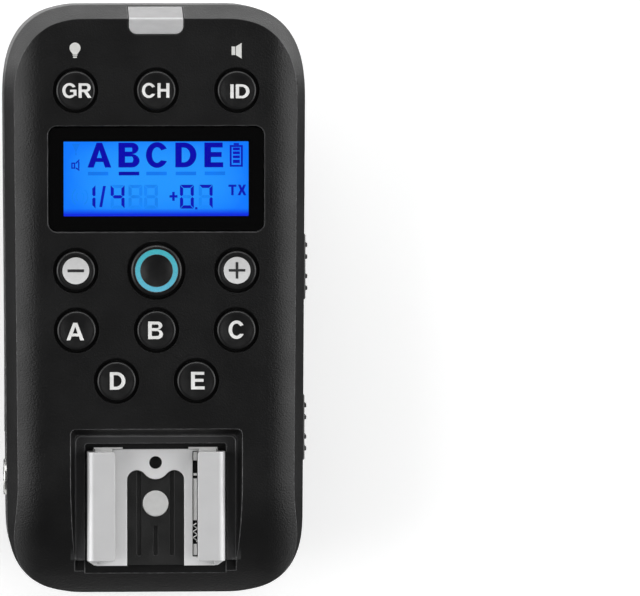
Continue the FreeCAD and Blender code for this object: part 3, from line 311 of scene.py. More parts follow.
MASK = surface("printed_border", (0.0015, 0.0015, 0.0018), rough=(0.12, 0.2),
               grain=(5000, 0.000002), blotch=200)
LEGEND = surface("legend_print", (0.80, 0.80, 0.79), (0.70, 0.70, 0.69), rough=(0.4, 0.5),
                 grain=(6000, 0.00001), blotch=900)
ICON = surface("icon_print", (0.68, 0.68, 0.66), (0.6, 0.6, 0.58), rough=(0.4, 0.5), grain=(6000, 0.00001),
               blotch=900)
DISC = surface("key_disc", (0.60, 0.60, 0.60), (0.57, 0.57, 0.57), rough=(0.4, 0.5), grain=(6000, 0.00001),
               blotch=1500)
DARK_PRINT = surface("dark_print", (0.02, 0.02, 0.022), rough=(0.4, 0.5), grain=(6000, 0.00001), blotch=900)


def lens_material():
    """Milky plastic, a little cloudy, with the sloped part below the top face painted darker as painted
    shade.
    """
    mat, tree, shader = new_material("lens_milky")
    cloud = noise(tree, 500, 3.0, (1, 3, 1))
    face = mix(tree, remap(tree, cloud, 0.0, 1.0), (0.47, 0.47, 0.475), (0.5, 0.5, 0.505))
    slope_painted_shade = mix(tree, remap(tree, cloud, 0.0, 1.0), (0.22, 0.22, 0.223), (0.24, 0.24, 0.243))
    height = place_axis(tree, "Z")
    tint = mix(tree, remap(tree, height, 0.0, 1.0, (Z_TOP - 0.7) * MM, (Z_TOP - 0.1) * MM), slope_painted_shade, face)
    tree.links.new(tint, shader.inputs["Base Color"])
    tree.links.new(remap(tree, noise(tree, 1500, 2.0), 0.12, 0.22), shader.inputs["Roughness"])
    shader.inputs["Subsurface Weight"].default_value = 0.5
    shader.inputs["Subsurface Radius"].default_value = (0.001, 0.001, 0.001)
    shader.inputs["Subsurface Scale"].default_value = 1.0
    shader.inputs["Coat Weight"].default_value = 0.5
    node = tree.nodes.new("ShaderNodeBevel")
    node.samples = 6
    node.inputs["Radius"].default_value = 0.0003
    tree.links.new(node.outputs["Normal"], shader.inputs["Normal"])
    return mat


def window_material():
    """Clear hard-coated plastic; the coat is a little uneven."""
    mat, tree, shader = new_material("window_clear")
    shader.inputs["Base Color"].default_value = (1.0, 1.0, 1.0, 1.0)
    tree.links.new(remap(tree, noise(tree, 120, 2.0), 0.0, 0.003), shader.inputs["Roughness"])
    shader.inputs["Transmission Weight"].default_value = 1.0
    shader.inputs["IOR"].default_value = 1.45
    return mat


def ring_material():
    """The lit ring round the test key, turning from blue to green along y."""
    mat, tree, shader = new_material("test_ring_blue")
    along = remap(tree, place_axis(tree, "Y"), 0.0, 1.0, (TEST_Y - 3.2) * MM, (TEST_Y + 3.2) * MM)
    even = mix(tree, along, (0.085, 0.31, 0.42), (0.035, 0.28, 0.31))
    tint = mix(tree, remap(tree, noise(tree, 700, 3.0), 0.0, 0.35), even, (0.05, 0.24, 0.33))
    tree.links.new(tint, shader.inputs["Base Color"])
    tree.links.new(tint, shader.inputs["Emission Color"])
    shader.inputs["Emission Strength"].default_value = 0.55
    tree.links.new(remap(tree, noise(tree, 1500, 2.0), 0.2, 0.32), shader.inputs["Roughness"])
    shader.inputs["Coat Weight"].default_value = 0.3
    return mat


def display_material():
    """The lit display: bright in the middle, deeper towards the edges, with a dark foot."""
    mat, tree, shader = new_material("display_glow")

    def shifted(socket, centre, half):
        node = tree.nodes.new("ShaderNodeMapRange")
        node.clamp = False
        node.inputs["From Min"].default_value = (centre - half) * MM
        node.inputs["From Max"].default_value = (centre + half) * MM
        node.inputs["To Min"].default_value = -1.0
        node.inputs["To Max"].default_value = 1.0
        tree.links.new(socket, node.inputs["Value"])
        return node.outputs["Result"]

    def clamped(socket, start, end):
        return remap(tree, socket, 0.0, 1.0, start, end)

    def power(socket, exponent):
        return math_node(tree, "POWER", math_node(tree, "ABSOLUTE", socket, 0.0), exponent)

    across = power(shifted(place_axis(tree, "X"), 0.2, 14.4), 4.0)
    along = power(shifted(place_axis(tree, "Y"), WINDOW_Y + 0.2, 6.4), 3.0)
    uneven = remap(tree, noise(tree, 160, 3.0), 0.85, 1.2)
    cloudy = math_node(tree, "MULTIPLY", math_node(tree, "ADD", across, along), uneven)
    glow = mix(tree, clamped(cloudy, 0.0, 0.9), (0.014, 0.32, 1.05), (0.001, 0.20, 1.05))
    low = WINDOW_Y - ACTIVE[1] / 2
    foot = clamped(place_axis(tree, "Y"), (low + 1.15) * MM, (low + 0.25) * MM)
    tree.links.new(mix(tree, foot, glow, (0.001, 0.022, 0.80)), shader.inputs["Emission Color"])
    shader.inputs["Emission Strength"].default_value = 1.0
    shader.inputs["Base Color"].default_value = (0.0, 0.004, 0.02, 1.0)
    shader.inputs["Specular IOR Level"].default_value = 0.1
    tree.links.new(remap(tree, noise(tree, 900, 2.0), 0.45, 0.6), shader.inputs["Roughness"])
    return mat


def cell_material():
    """A printed film: dark over most of the cell, with a pale band towards each end."""
    mat, tree, shader = new_material("cell_film")
    half_bay = (BAY[1] - BAY[0]) / 2
    band_start = 15.0
    signed = remap(tree, place_axis(tree, "Y"), -half_bay, half_bay, BAY[0] * MM, BAY[1] * MM)
    away = math_node(tree, "ABSOLUTE", signed, 0.0)
    cloud = remap(tree, noise(tree, 200, 4.0), 0.0, 1.0)
    film = mix(tree, cloud, (0.012, 0.035, 0.075), (0.017, 0.045, 0.095))
    band = mix(tree, cloud, (0.42, 0.43, 0.44), (0.5, 0.51, 0.52))
    in_band = remap(tree, away, 0.0, 1.0, band_start, band_start + 0.05)
    tree.links.new(mix(tree, in_band, film, band), shader.inputs["Base Color"])
    tree.links.new(remap(tree, noise(tree, 700, 3.0), 0.2, 0.32), shader.inputs["Roughness"])
    shader.inputs["Metallic"].default_value = 0.3
    shader.inputs["Coat Weight"].default_value = 0.6
    return mat


LENS = lens_material()
CELL = cell_material()
WINDOW = window_material()
TEST_RING = ring_material()
DISPLAY = display_material()
SEGMENT = plain_glow("display_segment", (0.0, 0.0, 0.46), 1.0)
DIGITS = plain_glow("display_digit", (0.002, 0.006, 0.52), 1.0)
GHOST = plain_glow("display_ghost", (0.008, 0.265, 1.05), 1.0)
FAINT = plain_glow("display_faint", (0.004, 0.21, 0.98), 1.0)

NODE_MATERIALS = {
    "top_cover": HOUSING, "bottom_cover": HOUSING, "battery_door": HOUSING, "status_lens": LENS,
    "display_window": WINDOW, "window_mask": MASK, "lcd_panel": MASK, "lcd_backlight": MOULDED,
    "zebra_strip": RUBBER, "test_button": KEYCAP, "test_button_ring": TEST_RING, "keypad_membrane": RUBBER,
    "tact_switches": MOULDED, "shutter_switch": MOULDED, "main_pcb": BOARD, "chips": MOULDED, "crystal": TIN,
    "rf_module": BOARD, "antenna": COPPER, "buzzer": MOULDED, "status_led": LENS, "pcb_screws": SCREW,
    "case_screws": SCREW, "shoe_plate": STEEL, "shoe_springs": LEAF, "shoe_insulator": INSULATOR,
    "center_contact": CONTACT, "shoe_screws": SCREW, "foot_plate": PLATE, "foot_screws": SCREW,
    "foot_stem": INSULATOR, "contact_pin": CONTACT, "contact_pin_spring": SPRING, "contact_plug": INSULATOR,
    "lock_pin": CONTACT, "lock_washer": WASHER, "lock_ring": RING, "battery_left": TIN, "battery_right": TIN,
    "contact_springs": SPRING, "contact_front": TIN, "contact_rear": TIN, "power_switch_body": MOULDED,
    "mode_switch_body": MOULDED, "sync_jack": MOULDED, "jack_ring": TIN, "usb_port": TIN,
    "power_switch_knob": KEYCAP, "mode_switch_knob": KEYCAP,
}
for key_name in KEY_PLACES:
    NODE_MATERIALS[key_name] = KEYCAP
for node_name, node in nodes.items():
    wanted = NODE_MATERIALS[node_name]
    if not node.material_slots:
        node.data.materials.append(wanted)
    for slot in node.material_slots:
        slot.material = wanted


# ---- Mesh helpers ------------------------------------------------------------------------
def add_object(name, mesh, material, body):
    """A new piece that rides on a body of the frame."""
    obj = bpy.data.objects.new(name, mesh)
    scene.collection.objects.link(obj)
    mesh.materials.clear()
    mesh.materials.append(material)
    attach(obj, body)
    return obj


def built(bm, name, material, body):
    """Turns a finished bmesh into a piece with outward normals."""
    bmesh.ops.recalc_face_normals(bm, faces=bm.faces)
    mesh = bpy.data.meshes.new(name)
    bm.to_mesh(mesh)
    bm.free()
    return add_object(name, mesh, material, body)


def prism(name, outlines, z, height, material, body):
    """Flat-topped solids with the given closed outlines (lists of (x, y) in mm) at height z."""
    bm = bmesh.new()
    for points in outlines:
        low = [bm.verts.new((x * MM, y * MM, z * MM)) for x, y in points]
        high = [bm.verts.new((x * MM, y * MM, (z + height) * MM)) for x, y in points]
        count = len(points)
        bm.faces.new(list(reversed(low)))
        bm.faces.new(high)
        for i in range(count):
            j = (i + 1) % count
            bm.faces.new((low[i], low[j], high[j], high[i]))
    return built(bm, name, material, body)


def helix(start, end, radii, turns, flat=0.0, per_turn=28, phase=0.0):
    """Points of a coil from start to end (mm) with a radius that changes evenly.

    flat is how many extra turns lie flat at each end.
    """
    a, b = Vector(start), Vector(end)
    axis = (b - a).normalized()
    side = axis.orthogonal().normalized()
    other = axis.cross(side)
    total = turns + 2 * flat
    points = []
    for i in range(int(total * per_turn) + 1):
        turn = i / per_turn
        share = min(max((turn - flat) / turns, 0.0), 1.0)
        r = radii[0] + (radii[1] - radii[0]) * share
        angle = phase + 2 * math.pi * turn
        points.append(a.lerp(b, share) + side * (r * math.cos(angle)) + other * (r * math.sin(angle)))
    return points


def tubes(name, paths, radius, material, body, sides=10):
    """Round wire along each list of points (mm), with capped ends."""
    bm = bmesh.new()
    for points in paths:
        points = [Vector(p) for p in points]
        normal = (points[1] - points[0]).orthogonal().normalized()
        rings = []
        for i, p in enumerate(points):
            tangent = (points[min(i + 1, len(points) - 1)] - points[max(i - 1, 0)]).normalized()
            normal = (normal - tangent * normal.dot(tangent)).normalized()
            across = tangent.cross(normal)
            ring = []
            for k in range(sides):
                a = 2 * math.pi * k / sides
                ring.append(bm.verts.new((p + (normal * math.cos(a) + across * math.sin(a)) * radius) * MM))
            rings.append(ring)
        for low, high in zip(rings, rings[1:]):
            for k in range(sides):
                n = (k + 1) % sides
                bm.faces.new((low[k], low[n], high[n], high[k])).smooth = True
        bm.faces.new(list(reversed(rings[0])))
        bm.faces.new(rings[-1])
    return built(bm, name, material, body)


def lathe(name, profile, centre, axis, material, body, count=96):
    """A closed profile of (along, radius) pairs turned about a line through centre along axis."""
    bm = bmesh.new()
    direction = Vector(axis).normalized()
    side = direction.orthogonal().normalized()
    other = direction.cross(side)
    rings = []
    for along, r in profile:
        ring = []
        for k in range(count):
            a = 2 * math.pi * k / count
            ring.append(bm.verts.new((Vector(centre) + direction * along
                                      + (side * math.cos(a) + other * math.sin(a)) * r) * MM))
        rings.append(ring)
    for i, ring in enumerate(rings):
        after = rings[(i + 1) % len(rings)]
        for k in range(count):
            n = (k + 1) % count
            face = bm.faces.new((ring[k], ring[n], after[n], after[k]))
            face.smooth = abs(profile[i][1] - profile[(i + 1) % len(rings)][1]) < 0.001
    return built(bm, name, material, body)


def circle(cx, cy, r, count=48):
    """Points round a circle."""
    return [(cx + r * math.cos(2 * math.pi * i / count), cy + r * math.sin(2 * math.pi * i / count))
            for i in range(count)]


def bar(x0, y0, x1, y1):
    """A rectangle's four corners."""
    return [(x0, y0), (x1, y0), (x1, y1), (x0, y1)]


def arc(cx, cy, rx, ry, start, end, count=14):
    """Points along an ellipse, from start to end degrees."""
    points = []
    for i in range(count + 1):
        a = math.radians(start + (end - start) * i / count)
        points.append((cx + rx * math.cos(a), cy + ry * math.sin(a)))
    return points


def bowl_letter(bowls, w, t):
    """Outline and counters of a letter with a stem and round bowls, each (low, high, width)."""
    outer = [(0, 0)]
    counters = []
    for low, high, width in bowls:
        ry = (high - low) / 2
        mid = (low + high) / 2
        x = width - min(ry * 1.15, width - 0.4)
        outer += arc(x, mid, width - x, ry, -90, 90)
        under = t if low == 0 else t / 2
        over = t if high == 1 else t / 2
        hole_mid = (low + under + high - over) / 2
        hole_ry = (high - low - under - over) / 2
        hole = [(w, hole_mid - hole_ry), (x, hole_mid - hole_ry)]
        hole += arc(x, hole_mid, width - x - 0.95 * w, hole_ry, -90, 90) + [(w, hole_mid + hole_ry)]
        counters.append(hole)
    outer.append((0, 1))
    return [outer] + counters


def glyph(letter, w=0.21, t=0.17):
    """(width, closed outlines) of a bold capital one unit tall; inner outlines are holes.

    w is the width of a stem, t the thickness of a bar.
    """
    if letter == "A":
        d = (w - 0.21) * 0.7
        body = [(0, 0), (w, 0), (w + 0.08, 0.225), (0.91 - w, 0.225), (0.99 - w, 0), (0.99, 0), (0.61, 1),
                (0.38, 1)]
        return 0.99, [body, [(0.355 + d, 0.385), (0.635 - d, 0.385), (0.495, 0.775 - 2 * d)]]
    if letter == "B":
        return 0.83, bowl_letter([(0, 0.54, 0.83), (0.54, 1, 0.79)], w, t)
    if letter == "D":
        outer = [(0, 0), (0.37, 0)] + arc(0.37, 0.5, 0.49, 0.5, -90, 90, 20) + [(0, 1)]
        hole = [(w, t), (0.34, t)] + arc(0.34, 0.5, 0.52 - w, 0.5 - t, -90, 90, 20) + [(w, 1 - t)]
        return 0.86, [outer, hole]
    if letter in "CG":
        outer = arc(0.48, 0.5, 0.48, 0.52, 30, 332 if letter == "C" else 320, 28)
        inner = arc(0.48, 0.5, 0.48 - w, 0.515 - t, 318 if letter == "C" else 300, 36, 24)
        if letter == "C":
            return 0.94, [outer + inner]
        tail = [(0.96, 0.13), (0.96, 0.56), (0.52, 0.56), (0.52, 0.4), (0.755, 0.4), (0.755, 0.215)]
        return 0.97, [outer + tail + inner]
    if letter == "E":
        low, high = 0.515 - t / 2, 0.515 + t / 2
        body = [(0, 0), (0.74, 0), (0.74, t), (w, t), (w, low), (0.68, low), (0.68, high), (w, high),
                (w, 1 - t), (0.72, 1 - t), (0.72, 1), (0, 1)]
        return 0.74, [body]
    if letter == "H":
        body = [(0, 0), (w, 0), (w, 0.42), (0.81 - w, 0.42), (0.81 - w, 0), (0.81, 0), (0.81, 1),
                (0.81 - w, 1), (0.81 - w, 0.6), (w, 0.6), (w, 1), (0, 1)]
        return 0.81, [body]
    if letter == "I":
        return w, [bar(0, 0, w, 1)]
    if letter == "R":
        outer = [(0, 0), (w, 0), (w, 0.4), (0.36, 0.4), (0.62, 0), (0.87, 0), (0.6, 0.42)]
        outer += arc(0.52, 0.705, 0.295, 0.295, -72, 90, 16) + [(0, 1)]
        hole = [(w, 0.57), (0.5, 0.57)] + arc(0.5, 0.7, 0.1, 0.13, -90, 90, 10) + [(w, 0.83)]
        return 0.87, [outer, hole]
    if letter == "T":
        left, right = 0.4 - w / 2, 0.4 + w / 2
        body = [(left, 0), (right, 0), (right, 1 - t), (0.8, 1 - t), (0.8, 1), (0, 1), (0, 1 - t),
                (left, 1 - t)]
        return 0.8, [body]
    waist = 1.45 * w
    body = [(0, 0), (w + 0.02, 0), (0.435, 0.33), (0.85 - w, 0), (0.87, 0), (0.435 + waist / 2, 0.51),
            (0.84, 1), (0.82 - w, 1), (0.435, 0.69), (w + 0.05, 1), (0.03, 1), (0.435 - waist / 2, 0.51)]
    return 0.87, [body]


def text(name, words, centre, size, z, material, body, w=0.21, t=0.17, gap=0.13):
    """Bold capitals fitted to a box of the given size in mm, laid flat at z."""
    outlines = []
    cursor = 0.0
    for letter in words:
        width, shapes = glyph(letter, w, t)
        outlines += [[(x + cursor, y) for x, y in shape] for shape in shapes]
        cursor += width + gap
    total = cursor - gap
    curve = bpy.data.curves.new(name, "CURVE")
    curve.dimensions = "2D"
    curve.fill_mode = "BOTH"
    curve.extrude = 0.01 * MM
    for shape in outlines:
        spline = curve.splines.new("POLY")
        spline.points.add(len(shape) - 1)
        for point, (x, y) in zip(spline.points, shape):
            across = centre[0] + (x / total - 0.5) * size[0]
            along = centre[1] + (y - 0.5) * size[1]
            point.co = (across * MM, along * MM, 0, 1)
        spline.use_cyclic_u = True
    temp = bpy.data.objects.new(name + "_temp", curve)
    scene.collection.objects.link(temp)
    bpy.context.view_layer.update()
    mesh = bpy.data.meshes.new_from_object(temp)
    bpy.data.objects.remove(temp)
    mesh.transform(Matrix.Translation((0, 0, (z + 0.01) * MM)))
    mesh.name = name
    bm = bmesh.new()
    bm.from_mesh(mesh)
    bmesh.ops.remove_doubles(bm, verts=bm.verts, dist=1e-7)
    bmesh.ops.recalc_face_normals(bm, faces=bm.faces)
    bm.to_mesh(mesh)
    bm.free()
    return add_object(name, mesh, material, body)


# ---- Legends on the keys -----------------------------------------------------------------
DISH_R = 12.0
DISH = 0.25


def settle(obj, cx, cy, lift):
    """Lays a flat piece into the dished cap round (cx, cy), keeping its own thickness."""
    mesh = obj.data
    base = min(v.co.z for v in mesh.vertices)
    bm = bmesh.new()
    bm.from_mesh(mesh)
    bmesh.ops.triangulate(bm, faces=bm.faces)
    for _ in range(3):
        long_edges = [e for e in bm.edges if e.calc_length() > 0.45 * MM]
        bmesh.ops.subdivide_edges(bm, edges=long_edges, cuts=1)
        bmesh.ops.triangulate(bm, faces=bm.faces)
    for v in bm.verts:
        r = math.hypot(v.co.x / MM - cx, v.co.y / MM - cy)
        ground = KEY_TOP + DISH_R - DISH - math.sqrt(DISH_R ** 2 - r * r)
        v.co.z = v.co.z - base + (ground + lift) * MM
    bm.to_mesh(mesh)
    bm.free()
    return obj


# Words, width, height, and the small offsets of each print from its cap's centre.
LEGENDS = {
    "key_gr": ("GR", 4.4, 2.2, 0.2, 0.0),
    "key_ch": ("CH", 4.15, 2.2, -0.1, 0.0),
    "key_id": ("ID", 2.9, 2.12, 0.45, -0.15),
    "key_a": ("A", 2.65, 2.66, -0.2, -0.15),
    "key_b": ("B", 2.25, 2.66, -0.15, 0.0),
    "key_c": ("C", 2.36, 2.7, 0.0, 0.05),
    "key_d": ("D", 2.35, 2.66, 0.15, 0.05),
    "key_e": ("E", 2.05, 2.66, 0.2, 0.05),
}
for key_name, (words, width, tall, dx, dy) in LEGENDS.items():
    x, y = KEY_PLACES[key_name]
    piece = text(key_name + "_legend", words, (x + dx, y + dy), (width, tall), KEY_TOP, LEGEND,
                 key_name + "_body")
    settle(piece, x, y, 0.004)
for key_name in ("key_minus", "key_plus"):
    x, y = KEY_PLACES[key_name]
    body = key_name + "_body"
    settle(prism(key_name + "_disc", [circle(x, y, 2.03, 64)], KEY_TOP, 0.02, DISC, body), x, y, 0.004)
    strokes = [bar(x - 1.25, y - 0.22, x + 1.25, y + 0.22)]
    if key_name == "key_plus":
        strokes = [bar(x - 1.25, y - 0.2, x + 1.25, y + 0.2), bar(x - 0.2, y + 0.2, x + 0.2, y + 1.25),
                   bar(x - 0.2, y - 1.25, x + 0.2, y - 0.2)]
    settle(prism(key_name + "_sign", strokes, KEY_TOP, 0.02, DARK_PRINT, body), x, y, 0.026)


# ---- Icons printed above the keys --------------------------------------------------------
def speaker(name, cx, cy, s, z, material, body):
    """A loudspeaker sign facing right, s mm tall."""
    left = cx - 0.32 * s
    inner, outer = left + 0.27 * s, left + 0.64 * s
    box_part = bar(left, cy - 0.27 * s, left + 0.23 * s, cy + 0.27 * s)
    horn = [(inner, cy - 0.27 * s), (outer, cy - 0.5 * s), (outer, cy + 0.5 * s), (inner, cy + 0.27 * s)]
    return prism(name, [box_part, horn], z, 0.02, material, body)


def bulb(name, cx, cy, s, z, material, body):
    """A light bulb sign, s mm tall."""
    globe = arc(cx, cy + 0.15 * s, 0.35 * s, 0.35 * s, -38, 218, 24)
    globe = [(cx + 0.14 * s, cy - 0.25 * s)] + globe + [(cx - 0.14 * s, cy - 0.25 * s)]
    cap = bar(cx - 0.15 * s, cy - 0.34 * s, cx + 0.15 * s, cy - 0.27 * s)
    tip = bar(cx - 0.12 * s, cy - 0.48 * s, cx + 0.12 * s, cy - 0.39 * s)
    return prism(name, [globe, cap, tip], z, 0.02, material, body)


ICON_TALL = 2.36
bulb("icon_lamp", -12.26, 68.96, ICON_TALL, Z_TOP, ICON, "housing")
speaker("icon_sound", 12.17, 68.87, ICON_TALL, Z_TOP, ICON, "housing")

# ---- The display -------------------------------------------------------------------------
GLOW_Z = LCD_TOP + 0.05
prism("lcd_face", [bar(-14.9, WINDOW_Y - 6.5, 14.9, WINDOW_Y + 6.5)], GLOW_Z, 0.05, DISPLAY, "housing")
INK_Z = GLOW_Z + 0.07
FIRST_X = -14.0
FIRST_Y = WINDOW_Y + 5.65


def at(u, v):
    """Display millimetres from the top left corner of the lit area."""
    return (FIRST_X + u, FIRST_Y - v)


def ink(name, outlines, material=SEGMENT):
    """Segments of the display, with their outlines in display millimetres."""
    placed = [[at(u, v) for u, v in points] for points in outlines]
    return prism(name, placed, INK_Z, 0.02, material, "housing")


LETTER_SPANS = {"A": (3.65, 3.6), "B": (8.33, 3.2), "C": (12.5, 3.3), "D": (16.95, 3.2), "E": (21.35, 2.85)}
bars = []
for letter, (left, width) in LETTER_SPANS.items():
    centre = at(left + width / 2, 2.08)
    text("lcd_letter_" + letter.lower(), letter, centre, (width, 3.75), INK_Z, SEGMENT, "housing", 0.26, 0.2)
    outline = bar(left + 0.05, 4.6, left + 3.15, 5.15)
    if letter == "B":
        ink("lcd_bar_b", [outline])
    else:
        bars.append(outline)
ink("lcd_bars_faint", bars, FAINT)


def seven(u, v, w, h, t, lit):
    """Slanted-end segments of one digit; lit is a string of segment letters."""
    g = 0.06
    end, foot = u + w, v + h
    mid = v + h / 2
    mid_top, mid_low = mid - t / 2, mid + t / 2
    shapes = {
        "a": [(u + g, v), (end - g, v), (end - t - g, v + t), (u + t + g, v + t)],
        "d": [(u + t + g, foot - t), (end - t - g, foot - t), (end - g, foot), (u + g, foot)],
        "f": [(u, v + g), (u + t, v + t + g), (u + t, mid_top - g), (u + t / 2, mid - g), (u, mid_top)],
        "e": [(u, mid_low), (u + t / 2, mid + g), (u + t, mid_low + g), (u + t, foot - t - g), (u, foot - g)],
        "b": [(end - t, v + t + g), (end, v + g), (end, mid_top), (end - t / 2, mid - g),
              (end - t, mid_top - g)],
        "c": [(end - t, mid_low + g), (end - t / 2, mid + g), (end, mid_low), (end, foot - g),
              (end - t, foot - t - g)],
        "g": [(u + t / 2 + g, mid), (u + t + g, mid_top), (end - t - g, mid_top), (end - t / 2 - g, mid),
              (end - t - g, mid_low), (u + t + g, mid_low)],
    }
    return [shapes[s] for s in lit]


DIGIT = (2.1, 3.6, 0.48)    # width, height, stroke
DIGIT_V = 6.6


def digit(u, lit):
    """The lit and the unlit segments of the digit at u."""
    unlit = [s for s in "abcdefg" if s not in lit]
    return seven(u, DIGIT_V, *DIGIT, lit), seven(u, DIGIT_V, *DIGIT, unlit)


dark_shapes = []
ghost_shapes = []
for u, lit in ((7.15, "bcfg"), (9.85, ""), (12.2, ""), (17.65, "abcdef"), (20.5, "abc")):
    dark, pale = digit(u, lit)
    dark_shapes += dark
    ghost_shapes += pale
dark_shapes += seven(2.75, DIGIT_V, *DIGIT, "bc")
dark_shapes.append([(6.0, 6.75), (6.42, 6.75), (5.85, 9.95), (5.43, 9.95)])
dark_shapes += [bar(16.06, 8.17, 17.27, 8.53), bar(16.48, 7.67, 16.84, 8.17), bar(16.48, 8.53, 16.84, 9.03)]
dark_shapes.append(bar(19.95, 10.0, 20.28, 10.33))
ink("lcd_digits", dark_shapes, DIGITS)
ink("lcd_ghost_digits", ghost_shapes, GHOST)
text("lcd_tx", "TX", at(26.35, 7.4), (2.7, 1.6), INK_Z, DIGITS, "housing", 0.24, 0.2)


def ring_of_bars(u0, v0, u1, v1, t):
    """A hollow rectangle as four bars."""
    return [bar(u0, v0, u0 + t, v1), bar(u1 - t, v0, u1, v1), bar(u0 + t, v0, u1 - t, v0 + t),
            bar(u0 + t, v1 - t, u1 - t, v1)]


cell_shapes = ring_of_bars(25.2, 0.6, 27.18, 3.88, 0.28) + [bar(25.8, 0.3, 26.6, 0.58)]
for v0, v1 in ((0.98, 1.38), (1.57, 1.97), (2.18, 2.58), (2.82, 3.32)):
    cell_shapes.append(bar(25.68, v0, 26.72, v1))
ink("lcd_battery", cell_shapes, DIGITS)
horn = [[(1.86, 3.2), (2.42, 2.67), (2.42, 2.95), (1.86, 3.45)],
        [(1.86, 3.9), (2.42, 4.22), (2.42, 4.48), (1.86, 4.12)],
        bar(2.24, 3.1, 2.42, 4.1)]
ink("lcd_sound", ring_of_bars(1.2, 3.2, 1.78, 4.12, 0.18) + horn, DIGITS)
ink("lcd_signal_ghost", [[(1.3, 0.35), (2.5, 0.35), (1.9, 1.7)], bar(1.8, 1.7, 2.0, 2.1)], FAINT)
waves = []
for reach in (0.55, 1.15):
    for start in (-55, 125):
        rim_out = arc(2.5, 8.4, reach + 0.12, reach + 0.3, start, start + 110, 10)
        rim_in = arc(2.5, 8.4, reach - 0.06, reach + 0.1, start + 110, start, 10)
        waves.append(rim_out + rim_in)
ink("lcd_waves_ghost", waves, GHOST)

# ---- Springs, cells and small details ----------------------------------------------------
COIL_START, COIL_END = 0.9, 4.1
coils = []
for x, wall, inward in ((-CELL_X, BAY[0], 1), (CELL_X, BAY[1], -1)):
    start = (x, wall + inward * COIL_START, CELL_Z)
    end = (x, wall + inward * COIL_END, CELL_Z)
    coils.append(helix(start, end, (3.6, 2.2), 3.5, 0.75))
springs = tubes("battery_springs", coils, 0.33, SPRING, "housing")
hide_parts("contact_springs")
pin_path = helix((0, 0, 6.0), (0, 0, 8.3), (1.35, 1.35), 4.0, 0.5)
pin_coil = tubes("pin_spring", [pin_path], 0.2, SPRING, "housing", 8)
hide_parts("contact_pin_spring")
WHIP_X, WHIP_Y, WHIP_Z = -17.6, 26.4, 23.6
coil_path = helix((WHIP_X, WHIP_Y, WHIP_Z), (WHIP_X, 40.7, WHIP_Z), (1.6, 1.6), 11.0)
feed = [(WHIP_X, WHIP_Y, z) for z in (25.1, 25.45, 25.8)]
whip = tubes("antenna_coil", [coil_path, feed], 0.3, COPPER, "housing", 8)
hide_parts("antenna")

CELL_LONG = 44.5
CELL_GAP = 0.55
CELL_STARTS = (("left", -1, BAY[1] - CELL_GAP - CELL_LONG), ("right", 1, BAY[0] + CELL_GAP + 1.0))
for side_name, sign, low_y in CELL_STARTS:
    sleeve = lathe("cell_sleeve_" + side_name, [(0.7, 5.2), (0.7, 5.29), (42.8, 5.29), (42.8, 5.2)],
                   (sign * CELL_X, low_y, CELL_Z), (0, 1, 0), CELL, "housing")
    plus_y = low_y + (38.5 if sign < 0 else 5.0)
    minus_y = low_y + (5.0 if sign < 0 else 38.5)
    x = sign * CELL_X
    reach, half = 1.3, 0.28
    plus = [bar(x - reach, plus_y - half, x + reach, plus_y + half),
            bar(x - half, plus_y + half, x + half, plus_y + reach),
            bar(x - half, plus_y - reach, x + half, plus_y - half)]
    minus = [bar(x - reach, minus_y - half, x + reach, minus_y + half)]
    signs = prism("cell_signs_" + side_name, plus + minus, 0.0, 0.02, LEGEND, "housing")
    for v in signs.data.vertices:
        across = v.co.x / MM - x
        v.co.z += (CELL_Z - math.sqrt((CELL_R + 0.055) ** 2 - across ** 2)) * MM

# A fine bead round the foot of the shoe recess, pale grey as a painted highlight along the foot of the wall,
# and what shows in the shoe's slit.
LEDGE = (12.2, 10.3, 30.32)
BEAD_TURN = 0.9
half, far, ledge_z = LEDGE
left_turn = arc(-half + BEAD_TURN, far - BEAD_TURN, BEAD_TURN, BEAD_TURN, 180, 90, 8)
right_turn = arc(half - BEAD_TURN, far - BEAD_TURN, BEAD_TURN, BEAD_TURN, 90, 0, 8)
route = [(-half, -8.4)] + left_turn + right_turn + [(half, -8.4)]
bead = tubes("recess_bead", [[(x, y, ledge_z) for x, y in route]], 0.12, BEAD_HIGHLIGHT, "housing", 8)
SLIT_X = (5.74, 6.28)
tab = prism("slit_tab", [bar(SLIT_X[0], 6.6, SLIT_X[1], 7.9)], 30.1, 0.3, SPRING, "housing")
slit_path = helix((6.01, -5.8, 29.75), (6.01, -3.0, 29.75), (0.26, 0.26), 3.0)
slit_coil = tubes("slit_coil", [slit_path], 0.09, SPRING, "housing", 8)

# The thread that the lock ring runs on.
THREAD_LOW, THREAD_TOP, THREAD_R = 4.6, 8.9, 8.74
THREAD_TURNS = 4.3 / 1.6    # length over pitch
thread_path = helix((0, 0, THREAD_LOW), (0, 0, THREAD_TOP), (THREAD_R, THREAD_R), THREAD_TURNS, 0.0, 64)
thread = tubes("stem_thread", [thread_path], 0.1, INSULATOR, "housing", 6)

# An arrow on the door, pointing the way it slides.
arrow = prism("door_arrow", [[(-2.2, 31.0), (2.2, 31.0), (0.0, 34.4)]], 8.86, 0.16, HOUSING, "door_body")

# Inside the sockets in the left wall.
JACK = (-22.5, 3.7, 22.6)
liner = lathe("jack_sleeve", [(2.2, 1.12), (2.2, 1.245), (9.5, 1.245), (9.5, 1.12)], JACK, (1, 0, 0), TIN,
              "housing", 48)
USB = (-22.6, 15.5, 24.25)
STRIP_PITCH = 0.65
strips = []
for i in range(5):
    y = USB[1] + STRIP_PITCH * i
    strips.append(bar(USB[0] + 1.5, y - 1.45, USB[0] + 5.6, y - 1.15))
pads = prism("usb_contacts", strips, USB[2] + 0.16, 0.06, GOLD, "housing")

